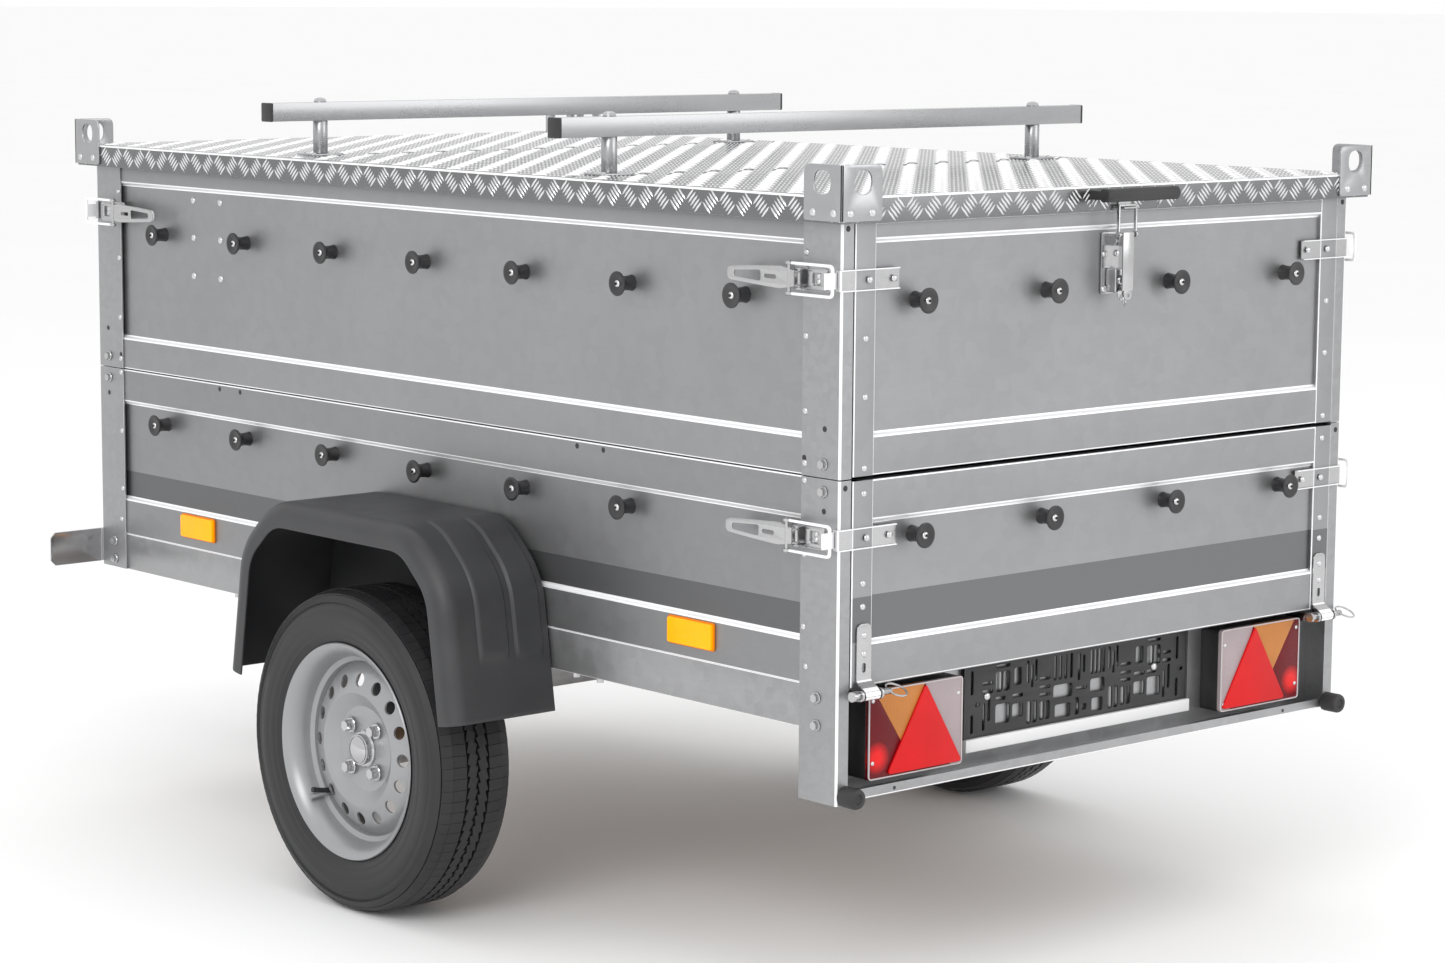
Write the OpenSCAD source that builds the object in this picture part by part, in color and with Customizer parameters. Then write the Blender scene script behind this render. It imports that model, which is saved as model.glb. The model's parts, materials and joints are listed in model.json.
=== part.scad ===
// Single-axle galvanised box trailer with raised sides and a hinged tread-plate lid.
// Ground is z = 0, the drawbar points along +Y and the overall plan is centred on the origin.

/* [Box] */
// Outside width of the box over the corner posts
body_w = 1160; // [1100:10:1240]
// Outside length of the box over the corner posts
body_l = 2050; // [2000:10:2150]
// Height of the loading deck above the ground
deck_z = 503; // [503:1:505]
// Height of the joint between the lower and the upper boards
division_z = 818; // [817:1:820]
// Height of the top edge of the box
box_top = 1198; // [1196:1:1204]
// Thickness of the panel sheet
sheet_t = 1.5; // [1.2:0.1:1.8]
// Thickness of the corner posts
post_t = 3; // [2.5:0.5:3]

/* [Lid] */
// Depth of the folded lid rim
lid_h = 39; // [38:1:44]
// How far the lid rim stands out past the box
lid_over = 24; // [22:1:26]
// Distance of each roof bar foot from the centre line
bar_foot_x = 490; // [480:5:520]

/* [Wheels] */
// Radius of the tyre
tyre_r = 272; // [270:1:274]
// Width of the tyre
tyre_w = 155; // [150:1:160]
// Radius of the rim flange
rim_r = 183; // [180:1:184]
// Distance from the centre line to the middle of each tyre
wheel_x = 700; // [698:1:702]
// Axle position, measured from the middle of the box
axle_y = -36; // [-45:1:-25]

/* [Latches and knobs] */
// Height of the toggle latches on the upper boards
upper_latch_z = 1113; // [1105:1:1120]
// Height of the toggle latches on the lower boards
lower_latch_z = 729; // [722:1:736]
// Spacing of the tie-down knobs along the sides
knob_pitch = 268; // [262:1:272]
// Spacing of the tie-down knobs across the gates
gate_pitch = 283; // [278:1:288]

/* [Drawbar] */
// Distance from the front of the box to the ball centre
ball_reach = 800; // [760:10:860]
// Side of the square drawbar tube
drawbar_s = 60; // [56:1:60]

/* [Hidden] */
$fn = 48;
hx = body_w / 2;
hy = body_l / 2;
panel_x = hx - post_t;
panel_y = hy - post_t;
rail_z = deck_z - 67;
post_foot = 327;
buffer_l = 32;
nose_l = 48;
grip_out = 34;
grip_r = 11;
body_y = (lid_over + grip_out + grip_r - ball_reach - nose_l) / 2;
lid_z = box_top + lid_h;
lid_x = hx + lid_over;
lid_y = hy + lid_over;
upper_knob_z = 1078;
lower_knob_z = 725;
gate_y = -hy - 1;
gate_pin = [-hy - 18, 495];
upper_pin = [-hy + 15, division_z + 20];
gate_hinge_x = 530;
wheel_z = tyre_r;
arm_l = 150;
pivot = [axle_y + 140, wheel_z + 54];
latch_pivot = [hx + 14, hy - 77];
loop_pivot = [hx + 21, hy - 91];
lid_pin = [hy + 31, box_top - 3];
strut_base = [664, 1040];
strut_top = [lid_pin[0] - 900, box_top - 12];
strut_v = strut_top - strut_base;
strut_l = norm(strut_v);
strut_a = atan2(strut_v[1], strut_v[0]);
strut_x = hx - 52;
bar_y = [420, -383];
bar_z = lid_z + 62;
bar_half = 600;
drawbar_z = rail_z - drawbar_s;
ball = [hy + ball_reach, drawbar_z - 6];
stand_y = hy + 190;
lamp_x = 403;
lock_z = 1150;
fit = 0.3;

// Outline of a folded sheet: the path itself, then the same path offset to its left.
function unit(v) = v / norm(v);
function left(v) = [-v[1], v[0]];
function before(p, i) = left(unit(i > 0 ? p[i] - p[i - 1] : p[1] - p[0]));
function after(p, i) = left(unit(i < len(p) - 1 ? p[i + 1] - p[i] : p[i] - p[i - 1]));
function mitre(p, i, t) = let (m = before(p, i) + after(p, i)) p[i] + m * 2 * t / (m * m);
function ribbon(p, t) = concat(p, [for (i = [len(p) - 1:-1:0]) mitre(p, i, t)]);

module folded(path, t = sheet_t) polygon(ribbon(path, t));

module along_x(x0, x1) translate([x0, 0, 0]) rotate([90, 0, 90]) linear_extrude(x1 - x0) children();

module along_y(y0, y1) translate([0, y1, 0]) rotate([90, 0, 0]) linear_extrude(y1 - y0) children();

module along_z(z0, z1) translate([0, 0, z0]) linear_extrude(z1 - z0) children();

module box(x, y, z) translate([x[0], y[0], z[0]]) cube([x[1] - x[0], y[1] - y[0], z[1] - z[0]]);

module both_sides() {
  children();
  mirror([1, 0, 0]) children();
}

module four_corners() {
  both_sides() children();
  mirror([0, 1, 0]) both_sides() children();
}

module rod_x(r, x0, x1, y, z) translate([x0, y, z]) rotate([0, 90, 0]) cylinder(r = r, h = x1 - x0);

module rod_y(r, y0, y1, x, z) translate([x, y1, z]) rotate([90, 0, 0]) cylinder(r = r, h = y1 - y0);

module rod_z(r, z0, z1, x, y) translate([x, y, z0]) cylinder(r = r, h = z1 - z0);

module hex_x(af, h) rotate([0, 90, 0]) cylinder(r = af / sqrt(3), h = h, $fn = 6);

module rounded(w, h, r) {
  square([w - 2 * r, h], center = true);
  square([w, h - 2 * r], center = true);
  for (sx = [-1, 1])
    for (sy = [-1, 1])
      translate([sx * (w / 2 - r), sy * (h / 2 - r)]) circle(r);
}

// Everything is drawn about the middle of the box and moved here to the centre of the plan.
module placed() translate([0, body_y, 0]) children();

// ---- frame ----

rail_flange = 40;
rail_t = 2.5;

module side_rail() along_y(-panel_y + 60, panel_y - 6)
  folded([[panel_x - rail_flange, rail_z], [panel_x, rail_z], [panel_x, deck_z],
    [panel_x - rail_flange, deck_z]], rail_t);

module cross_member(y) along_x(-panel_x + rail_t, panel_x - rail_t)
  folded([[y + 40, rail_z + rail_t], [y, rail_z + rail_t], [y, deck_z - rail_t],
    [y + 40, deck_z - rail_t]], -rail_t);

module front_rail() along_x(-panel_x + rail_flange + 2, panel_x - rail_flange - 2)
  folded([[panel_y - rail_flange, rail_z], [panel_y, rail_z], [panel_y, deck_z],
    [panel_y - rail_flange, deck_z]], rail_t);

module frame_rails() color("silver") placed() {
  both_sides() side_rail();
  for (y = [-700, 380, 760]) cross_member(y);
  front_rail();
}

beam_web = -hy + 59;
beam_foot = 330;

module hinge_lug(x) along_x(x, x + 4)
  polygon([[beam_web, 500], [beam_web, 470], [-hy + 20, 484], [gate_pin[0] - 9, 486],
    [gate_pin[0] - 9, 504], [gate_pin[0] + 9, 504], [gate_pin[0] + 14, 500]]);

module light_beam() color("silver") placed() difference() {
  union() {
    along_x(-panel_x, panel_x)
      folded([[-hy + 3.5, beam_foot + 16], [-hy + 3.5, beam_foot], [beam_web, beam_foot],
        [beam_web, 500], [-hy + 25, 500]], rail_t);
    for (s = [-1, 1])
      for (x = [-22, 18])
        hinge_lug(s * gate_hinge_x + x);
  }
  rod_x(5 + fit, -panel_x - 10, panel_x + 10, gate_pin[0], gate_pin[1]);
}

module floor_board() color("burlywood") placed()
  box([-panel_x + 7, panel_x - 7], [-hy + 29, panel_y - 8], [deck_z + 1.5, deck_z + 10.5]);

post_side = 83;
post_rear = 24;

module post_section() folded([[hx - post_rear, hy], [hx, hy], [hx, hy - post_side]], -post_t);

module post_holes() {
  for (z = [division_z - 49, division_z + 74]) rod_x(5, hx - 10, hx + 5, hy - 33, z);
  box([hx - 10, hx + 5], [hy - 81, hy - 73], [division_z + 22, division_z + 36]);
}

module pin_lug() along_x(hx - 22, hx - 18) difference() {
  polygon([[-hy + post_t, upper_pin[1] - 12], [upper_pin[0] + 9, upper_pin[1] - 12],
    [upper_pin[0] + 9, upper_pin[1] + 12], [-hy + post_t, upper_pin[1] + 12]]);
  translate(upper_pin) circle(5 + fit);
}

module corner_posts() color("gainsboro") placed() {
  both_sides() pin_lug();
  four_corners() difference() {
    along_z(division_z + 1, box_top - 0.5) post_section();
    post_holes();
  }
  mirror([0, 1, 0]) both_sides() difference() {
    along_z(post_foot, division_z - 1) post_section();
    post_holes();
  }
  both_sides() difference() {
    along_z(rail_z, division_z - 1) post_section();
    post_holes();
  }
}

bead = 6;

// Section of a board: [out, z] with a recessed field between two beads.
function board(out, z0, f0, f1, z1) = [[out - 22, z0], [out, z0], [out, f0], [out - bead, f0 + 4],
  [out - bead, f1 - 4], [out, f1], [out, z1], [out - 22, z1]];
lower_board = [deck_z, 570, 757, division_z - 1];
upper_board = [division_z + 1, 876, 1168, box_top - 0.5];

module side_panel(b) along_y(-panel_y, panel_y)
  folded(board(panel_x, b[0], b[1], b[2], b[3]));

module front_panel(b) along_x(-panel_x + 24, panel_x - 24)
  folded(board(panel_y, b[0], b[1], b[2], b[3]));

module lower_side_panels() color("darkgray") placed() both_sides() side_panel(lower_board);

module upper_side_panels() color("darkgray") placed() both_sides() {
  side_panel(upper_board);
  strut_bracket();
}

module strut_bracket() {
  box([panel_x - bead - 4.5, panel_x - bead - sheet_t], [strut_base[0] - 60, strut_base[0] + 60],
    [upper_knob_z - 85, upper_knob_z + 85]);
  rod_x(5, strut_x - 9, panel_x - bead - 4, strut_base[0], strut_base[1]);
}

module lid_lug(x) along_x(x, x + 5) difference() {
  union() {
    polygon([[panel_y, box_top - 50], [panel_y, box_top - 1.5], [lid_pin[0] - 4, box_top - 1.5],
      [lid_pin[0] + 4, lid_pin[1] - 5]]);
    translate(lid_pin) circle(6.5);
  }
  translate(lid_pin) circle(4 + fit);
}

module front_panels() color("darkgray") placed() {
  front_panel(lower_board);
  front_panel(upper_board);
  both_sides() {
    lid_lug(lid_hinge_x - 37);
    lid_lug(lid_hinge_x + 32);
  }
}

// ---- drawbar, coupling and stand ----

module square_tube(s, t) difference() {
  square([s, s], center = true);
  square([s - 2 * t, s - 2 * t], center = true);
}

module drawbar() color("silver") placed() translate([0, 0, drawbar_z + drawbar_s / 2])
  along_y(-150, ball[0] - 75) square_tube(drawbar_s, 3);

ball_r = 25.2;
clamp_y = [axle_y + 90, 400, 780, hy - 24];

module drawbar_clamps() color("gray") placed() {
  for (y = clamp_y) difference() {
    box([-drawbar_s / 2 - 22, drawbar_s / 2 + 22], [y - 20, y + 20], [drawbar_z - 6, rail_z - 0.2]);
    box([-drawbar_s / 2 - 0.3, drawbar_s / 2 + 0.3], [y - 21, y + 21], [drawbar_z - 0.2, rail_z + 1]);
    both_sides() rod_z(5 + fit, drawbar_z - 8, rail_z, drawbar_s / 2 + 12, y);
  }
  for (y = clamp_y) both_sides() {
    rod_z(5, drawbar_z - 16, rail_z - 0.2, drawbar_s / 2 + 12, y);
    translate([drawbar_s / 2 + 12, y, drawbar_z - 13]) cylinder(r = 9, h = 6.5, $fn = 6);
  }
  stand_clamp();
}

stand_r = 24;
stand_x = drawbar_s / 2 + 34;

module stand_clamp() {
  difference() {
    union() {
      rod_z(stand_r + 6, drawbar_z + 2, drawbar_z + 58, stand_x, stand_y);
      box([drawbar_s / 2 + 0.2, stand_x], [stand_y - 30, stand_y + 30], [drawbar_z + 2, drawbar_z + 58]);
    }
    rod_z(stand_r + 0.4, drawbar_z, drawbar_z + 60, stand_x, stand_y);
  }
  rod_x(6, stand_x + stand_r + 4, stand_x + stand_r + 34, stand_y, drawbar_z + 30);
  rod_y(4, stand_y - 45, stand_y + 45, stand_x + stand_r + 36, drawbar_z + 30);
}

module stand_leg() color("silver") placed() {
  difference() {
    rod_z(stand_r, 8, drawbar_z + 180, stand_x, stand_y);
    rod_z(stand_r - 3, 12, drawbar_z + 181, stand_x, stand_y);
  }
  translate([stand_x, stand_y, 0]) along_z(0, 8) rounded(120, 110, 12);
}

module coupling_housing() color("silver") placed() difference() {
  union() {
    along_y(ball[0] - 190, ball[0] - 60) translate([0, drawbar_z + drawbar_s / 2]) difference() {
      square([drawbar_s + 8, drawbar_s + 8], center = true);
      square([drawbar_s + 0.6, drawbar_s + 0.6], center = true);
    }
    box([-30, 30], [ball[0] - 72, ball[0] + 10], [ball[1] - 6, ball[1] + 40]);
    rod_z(nose_l - 10, ball[1] - 16, ball[1] + 42, 0, ball[0] + 10);
    for (x = [-26, 20]) box([x, x + 6], [ball[0] - 70, ball[0] - 20], [ball[1] + 38, ball[1] + 76]);
  }
  rod_z(ball_r, ball[1] - 20, ball[1] + 20, 0, ball[0]);
  rod_x(4 + fit, -30, 30, ball[0] - 45, ball[1] + 64);
}

module coupling_lever() color("silver") placed() {
  rod_x(4, -32, 32, ball[0] - 45, ball[1] + 64);
  along_x(-19, 19) translate([ball[0] - 45, ball[1] + 64])
    polygon([[-10, -8], [10, -8], [16, 0], [14, 12], [-6, 16], [-120, 28], [-128, 18], [-14, 8.5]]);
}

// ---- axle and wheels ----

module axle_beam() color("silver") placed() {
  translate([0, pivot[0], pivot[1]]) along_x(-panel_x + 20, panel_x - 20) square_tube(56, 4);
  for (y = [-17.5, 17.5])
    for (z = [-17.5, 17.5])
      both_sides() rod_x(5.5, panel_x - 88, panel_x - 22, pivot[0] + y, pivot[1] + z);
  both_sides() {
    box([panel_x - 70, panel_x - 64], [pivot[0] - 60, pivot[0] + 60], [pivot[1] + 28, rail_z]);
    box([panel_x - 70, panel_x - 30], [pivot[0] - 60, pivot[0] + 60], [rail_z - 6, rail_z - 0.2]);
  }
}

module swing_arm() {
  rod_x(18, panel_x - 90, panel_x + 20, pivot[0], pivot[1]);
  along_x(panel_x + 4, panel_x + 22) difference() {
    union() {
      translate(pivot) circle(26);
      translate([axle_y, wheel_z]) circle(26);
      polygon([for (p = [[pivot, 1], [[axle_y, wheel_z], 1], [[axle_y, wheel_z], -1], [pivot, -1]])
        p[0] + p[1] * 26 * left(unit(pivot - [axle_y, wheel_z]))]);
    }
  }
  rod_x(14, panel_x + 10, wheel_x + 12, axle_y, wheel_z);
}

module swing_arm_left() color("dimgray") placed() mirror([1, 0, 0]) swing_arm();

module swing_arm_right() color("dimgray") placed() swing_arm();

disc_x = wheel_x + 30;
bolt_circle = 50;

module hub() translate([0, axle_y, wheel_z]) {
  difference() {
    union() {
      rod_x(34, panel_x + 24, disc_x - 4.2, 0, 0);
      rod_x(66, disc_x - 14, disc_x - 4.2, 0, 0);
    }
    rod_x(14 + fit, panel_x + 20, wheel_x + 13, 0, 0);
  }
  rod_x(26, disc_x - 5, disc_x + 14, 0, 0);
  for (a = [45:90:315]) rotate([a, 0, 0]) {
    rod_x(6, disc_x - 4.2, disc_x + 16, bolt_circle, 0);
    translate([disc_x, bolt_circle, 0]) hex_x(17, 12);
  }
}

module hub_left() color("silver") placed() mirror([1, 0, 0]) hub();

module hub_right() color("silver") placed() hub();

rim_half = 62;

module rim() translate([wheel_x, axle_y, wheel_z]) rotate([0, 90, 0]) {
  rotate_extrude($fn = 96) folded([[rim_r, -rim_half - 8], [rim_r - 12, -rim_half],
    [rim_r - 20, -rim_half + 14], [rim_r - 34, -20], [rim_r - 34, 12], [rim_r - 32, 26],
    [rim_r - 24, 30], [rim_r - 20, rim_half - 14],
    [rim_r - 12, rim_half], [rim_r, rim_half + 8]], 3);
  difference() {
    rotate_extrude($fn = 96) folded([[31, disc_x - wheel_x + 4], [31, disc_x - wheel_x],
      [72, disc_x - wheel_x], [96, disc_x - wheel_x + 16], [128, disc_x - wheel_x + 6],
      [rim_r - 36, disc_x - wheel_x - 12], [rim_r - 31, disc_x - wheel_x - 12]], -3.5);
    for (a = [0:22.5:337.5]) rotate([0, 0, a]) translate([118, 0, 20]) cylinder(r = 11, h = 40);
    for (a = [45:90:315]) rotate([0, 0, a]) translate([bolt_circle, 0, 0]) cylinder(r = 6.3, h = 60);
  }
  rotate([0, 0, 50]) translate([rim_r - 40, 0, 26]) rotate([0, 20, 0]) cylinder(r = 5, h = 34);
}

module rim_left() color("lightgray") placed() mirror([1, 0, 0]) rim();

module rim_right() color("lightgray") placed() rim();

module tyre() translate([wheel_x, axle_y, wheel_z]) rotate([0, 90, 0]) rotate_extrude($fn = 96)
  difference() {
    polygon([[rim_r - 13.5, -rim_half + 3], [rim_r + 4, -rim_half - 8], [rim_r + 34, -tyre_w / 2],
      [tyre_r - 24, -tyre_w / 2 + 3], [tyre_r - 6, -tyre_w / 2 + 18], [tyre_r, -tyre_w / 2 + 34],
      [tyre_r, tyre_w / 2 - 34], [tyre_r - 6, tyre_w / 2 - 18], [tyre_r - 24, tyre_w / 2 - 3],
      [rim_r + 34, tyre_w / 2], [rim_r + 4, rim_half + 8], [rim_r - 13.5, rim_half - 3],
      [rim_r - 10, rim_half - 18], [rim_r + 8, rim_half - 8], [rim_r + 40, tyre_w / 2 - 10],
      [tyre_r - 14, tyre_w / 2 - 26], [tyre_r - 14, -tyre_w / 2 + 26],
      [rim_r + 40, -tyre_w / 2 + 10], [rim_r + 8, -rim_half + 8], [rim_r - 10, -rim_half + 18]]);
    for (g = [-30, -10, 10, 30]) translate([tyre_r - 6, g - 3]) square([8, 6]);
  }

module tyre_left() color([0.12, 0.12, 0.12]) placed() mirror([1, 0, 0]) tyre();

module tyre_right() color([0.12, 0.12, 0.12]) placed() tyre();

guard_path = [[321, 368], [287, 590], [195, 672], [-195, 672], [-287, 590], [-321, 368]];
guard_out = 785;
guard_skirt = 40;
guard_flange = 120;

module mudguard() {
  along_x(panel_x + 5, guard_out) translate([axle_y, 0]) folded(guard_path, 4);
  along_x(guard_out - 4, guard_out) translate([axle_y, 0]) folded(guard_path, guard_skirt);
  along_x(panel_x + 5, panel_x + 9) translate([axle_y, 0]) folded(guard_path, guard_flange);
  for (y = [-130, 130]) rod_x(5, panel_x, panel_x + 12, axle_y + y, 652);
  for (y = [-250, 250]) rod_x(5, panel_x, panel_x + 12, axle_y + y, 588);
}

module mudguards() color([0.15, 0.15, 0.15]) placed() both_sides() mudguard();

// ---- lights and trim on the frame ----

module bolt_x(x, y, z) translate([x, y, z]) hex_x(13, 6);

module frame_bolts() color("lightgray") placed() {
  four_corners() for (z = [division_z - 20, division_z + 21]) bolt_x(hx, hy - 35, z);
  mirror([0, 1, 0]) both_sides() for (z = [444, 486]) bolt_x(hx, hy - 45, z);
  both_sides() for (z = [452, 486]) bolt_x(hx, hy - 45, z);
}

module lamp_housings() color([0.1, 0.1, 0.1]) placed() both_sides() difference() {
  translate([lamp_x, 0, 422]) along_y(-hy + 19, beam_web - rail_t) rounded(200, 138, 6);
  translate([lamp_x, 0, 422]) along_y(-hy + 18, -hy + 40) rounded(192, 130, 4);
}

module lamp_lenses() color("red") placed() both_sides() {
  translate([lamp_x, 0, 422]) along_y(-hy + 12, -hy + 18.8) rounded(200, 138, 6);
  along_y(-hy + 8, -hy + 12) polygon([[lamp_x - 95, 368], [lamp_x + 57, 368], [lamp_x - 19, 490]]);
}

module plate_holder() color([0.1, 0.1, 0.1]) placed() {
  difference() {
    box([-262, 262], [beam_web - 12, beam_web - rail_t], [374, 494]);
    for (x = [-228:57:228]) for (z = [400, 434, 468])
      box([x - 22, x + 22], [beam_web - 20, beam_web - 5], [z - 12, z + 12]);
  }
  box([-262, 262], [beam_web - 14, beam_web - rail_t], [362, 374]);
}

module side_reflectors() {
  color("orange") placed() four_corners()
    box([panel_x, panel_x + 8], [hy - 384, hy - 280], [deck_z + 21, deck_z + 61]);
  color("white") placed() both_sides()
    box([hx + 40, hx + 104], [hy + 3.2, hy + 11], [rail_z + 18, rail_z + 58]);
}

module marker_brackets() color("lightgray") placed() both_sides() {
  along_y(hy + 0.2, hy + 3.2) polygon([[hx - 40, rail_z + 6], [hx + 104, rail_z + 6],
    [hx + 114, rail_z + 16], [hx + 114, rail_z + 60], [hx + 104, rail_z + 70],
    [hx - 40, rail_z + 70]]);
}

module buffers() color([0.05, 0.05, 0.05]) placed() both_sides()
  rod_y(16, -hy - buffer_l, -hy, hx - 17, 341);

module knob() difference() {
  rotate_extrude() polygon([[0, 0], [13, 0], [12, 3], [11, 14], [19, 25], [20, 28], [18, 31],
    [0, 31]]);
  translate([0, 0, 29]) cylinder(r = 6, h = 5);
}

module side_knob(y, z) translate([panel_x - bead, y, z]) rotate([0, 90, 0]) knob();

module side_knobs() color([0.1, 0.1, 0.1]) placed() both_sides() {
  for (i = [-3:3]) side_knob(i * knob_pitch, upper_knob_z);
  for (i = [-2:3]) side_knob(i * knob_pitch, lower_knob_z);
}

module gate_knobs(z) for (i = [-1.5:1.5])
  translate([i * gate_pitch, gate_y + bead, z]) rotate([90, 0, 0]) knob();

// ---- toggle latches ----

// Drawn for the right front corner about the latch height, then mirrored to each corner.
module at_latch(z, right, front) placed() mirror([right ? 0 : 1, 0, 0])
  mirror([0, front ? 0 : 1, 0]) translate([0, 0, z]) children();

module latch_base() {
  box([hx + 0.1, hx + 2.5], [hy - 100, hy - 22], [-19, 19]);
  for (z = [-16, 13]) difference() {
    box([hx + 2, latch_pivot[0] + 4], [hy - 84, hy - 70], [z, z + 3]);
    rod_z(3 + fit, z - 1, z + 4, latch_pivot[0], latch_pivot[1]);
  }
}

module catch_strap() {
  box([hx - 116, hx + 5.5], [hy + 1, hy + 3.5], [-16, 16]);
  box([hx + 3, hx + 5.5], [hy - 9, hy + 3.5], [-16, 16]);
  box([hx + 3, hx + 27], [hy - 9, hy - 6.5], [-12, 12]);
}

module latch_bases() color("silver") {
  for (r = [true, false]) {
    for (z = [upper_latch_z, lower_latch_z]) at_latch(z, r, false) latch_base();
    at_latch(upper_latch_z, r, true) {
      latch_base();
      translate([0, -0.9, 0]) catch_strap();
    }
  }
}

module latch_lever() {
  rod_z(3, -16, 16, latch_pivot[0], latch_pivot[1]);
  rod_z(2.8, -26, 26, loop_pivot[0], loop_pivot[1]);
  for (z = [-11, 9]) box([latch_pivot[0] - 4, hx + 20], [latch_pivot[1] - 30, latch_pivot[1] + 4],
    [z, z + 2]);
  rotate([0, 90, 0]) along_z(hx + 20, hx + 22.5) polygon([[-12, hy - 80], [12, hy - 80],
    [17, hy - 110], [14, hy - 170], [9, hy - 228], [-9, hy - 228], [-14, hy - 170],
    [-17, hy - 110]]);
}

module latch_loop() difference() {
  union() {
    box([hx + 19.5, hx + 22.5], [hy - 92, hy + 5], [-25, 25]);
    for (z = [-25, 20.5]) rod_z(6, z, z + 4.5, loop_pivot[0], loop_pivot[1]);
  }
  box([hx + 15, hx + 30], [hy - 100, hy - 5], [-20.5, 20.5]);
  rod_z(2.8 + fit, -30, 30, loop_pivot[0], loop_pivot[1]);
}

module lever_rear_upper_left() color("silver") at_latch(upper_latch_z, false, false) latch_lever();

module lever_rear_upper_right() color("silver") at_latch(upper_latch_z, true, false) latch_lever();

module lever_rear_lower_left() color("silver") at_latch(lower_latch_z, false, false) latch_lever();

module lever_rear_lower_right() color("silver") at_latch(lower_latch_z, true, false) latch_lever();

module lever_front_left() color("silver") at_latch(upper_latch_z, false, true) latch_lever();

module lever_front_right() color("silver") at_latch(upper_latch_z, true, true) latch_lever();

module loop_rear_upper_left() color("silver") at_latch(upper_latch_z, false, false) latch_loop();

module loop_rear_upper_right() color("silver") at_latch(upper_latch_z, true, false) latch_loop();

module loop_rear_lower_left() color("silver") at_latch(lower_latch_z, false, false) latch_loop();

module loop_rear_lower_right() color("silver") at_latch(lower_latch_z, true, false) latch_loop();

module loop_front_left() color("silver") at_latch(upper_latch_z, false, true) latch_loop();

module loop_front_right() color("silver") at_latch(upper_latch_z, true, true) latch_loop();

// ---- gates ----

gate_half = hx - post_rear - 2;
end_strip = 42;

module gate(z0, f0, f1, z1) {
  along_x(-gate_half + 20, gate_half - 20)
    folded([for (p = board(-gate_y, z0, f0, f1, z1)) [-p[0], p[1]]], -sheet_t);
  both_sides() along_z(z0, z1) folded([[gate_half - end_strip, gate_y + 24],
    [gate_half - end_strip, gate_y], [gate_half, gate_y], [gate_half, gate_y + 24]], 2);
}

module lower_gate() color("darkgray") placed() gate(deck_z + 2, 568, 755, division_z - 3);

module upper_gate() color("darkgray") placed() {
  gate(division_z + 6, 880, 1172, box_top - 1.5);
  both_sides() rod_x(5, gate_half - 20, hx - post_rear + 14, upper_pin[0], upper_pin[1]);
}

module hinge_strap() {
  box([gate_hinge_x - 15, gate_hinge_x + 15], [gate_y - 3, gate_y - 0.1], [514, 600]);
  difference() {
    union() {
      rod_x(9, gate_hinge_x - 15, gate_hinge_x + 15, gate_pin[0], gate_pin[1]);
      along_x(gate_hinge_x - 15, gate_hinge_x + 15) polygon([[gate_y - 0.1, 516],
        [gate_y - 3, 516], [gate_pin[0] - 2, 503], [gate_pin[0] + 6, 498]]);
    }
    rod_x(5 + fit, gate_hinge_x - 20, gate_hinge_x + 20, gate_pin[0], gate_pin[1]);
  }
}

module lower_gate_straps() color("silver") {
  placed() both_sides() hinge_strap();
  for (r = [true, false]) at_latch(lower_latch_z, r, false) catch_strap();
}

module lock_base() {
  box([-20, 20], [gate_y + bead - 2.5, gate_y + bead], [lock_z - 85, lock_z + 12]);
  for (x = [-17, 14]) difference() {
    box([x, x + 3], [lock_pin[0] - 5, gate_y + bead - 1], [lock_z - 8, lock_z + 8]);
    rod_x(3 + fit, x - 1, x + 4, lock_pin[0], lock_pin[1]);
  }
}

module upper_gate_straps() color("silver") {
  for (r = [true, false]) at_latch(upper_latch_z, r, false) catch_strap();
  placed() lock_base();
}

module lower_gate_knobs() color([0.1, 0.1, 0.1]) placed() gate_knobs(lower_knob_z);

module upper_gate_knobs() color([0.1, 0.1, 0.1]) placed() gate_knobs(upper_knob_z);

pin_half = 42;
ring_r = 17;

module hinge_pin(x) {
  difference() {
    rod_x(5, x - pin_half + 8, x + pin_half, gate_pin[0], gate_pin[1]);
    rod_y(2, gate_pin[0] - 10, gate_pin[0] + 10, x + pin_half - 4, gate_pin[1]);
  }
  translate([x + pin_half - 4 + ring_r, gate_pin[0], gate_pin[1]])
    rotate_extrude() translate([ring_r, 0]) circle(1.6);
  rod_x(8, x - pin_half + 4, x - pin_half + 8, gate_pin[0], gate_pin[1]);
}

module hinge_pins() color("silver") placed() for (s = [-1, 1]) hinge_pin(s * gate_hinge_x);

// ---- lid ----

skin_t = 2.5;

module lid_skin() color("whitesmoke") placed() difference() {
  box([-lid_x, lid_x], [-lid_y, lid_y], [box_top, lid_z]);
  box([-lid_x + skin_t, lid_x - skin_t], [-lid_y + skin_t, lid_y - skin_t],
    [box_top - 1, lid_z - skin_t]);
}

frame_s = 30;
lid_rib_y = [-520, 0, 520];

module lid_frame() color("silver") placed() {
  both_sides() box([hx - 34, hx - 4], [-hy + 34, hy - 34], [lid_z - skin_t - frame_s, lid_z - skin_t]);
  for (y = [-hy + 4, hy - 34]) box([-hx + 4, hx - 4], [y, y + frame_s],
    [lid_z - skin_t - frame_s, lid_z - skin_t]);
  for (y = lid_rib_y) box([-hx + 34, hx - 34], [y - 15, y + 15],
    [lid_z - skin_t - frame_s + 10, lid_z - skin_t]);
  both_sides() {
    rod_x(5, strut_x + 6, hx - 30, strut_top[0], strut_top[1]);
    box([hx - 34, hx - 30], [strut_top[0] - 20, strut_top[0] + 20], [strut_top[1] - 10, lid_z - 12]);
    lid_hinge();
  }
}

lid_hinge_x = 380;

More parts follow.
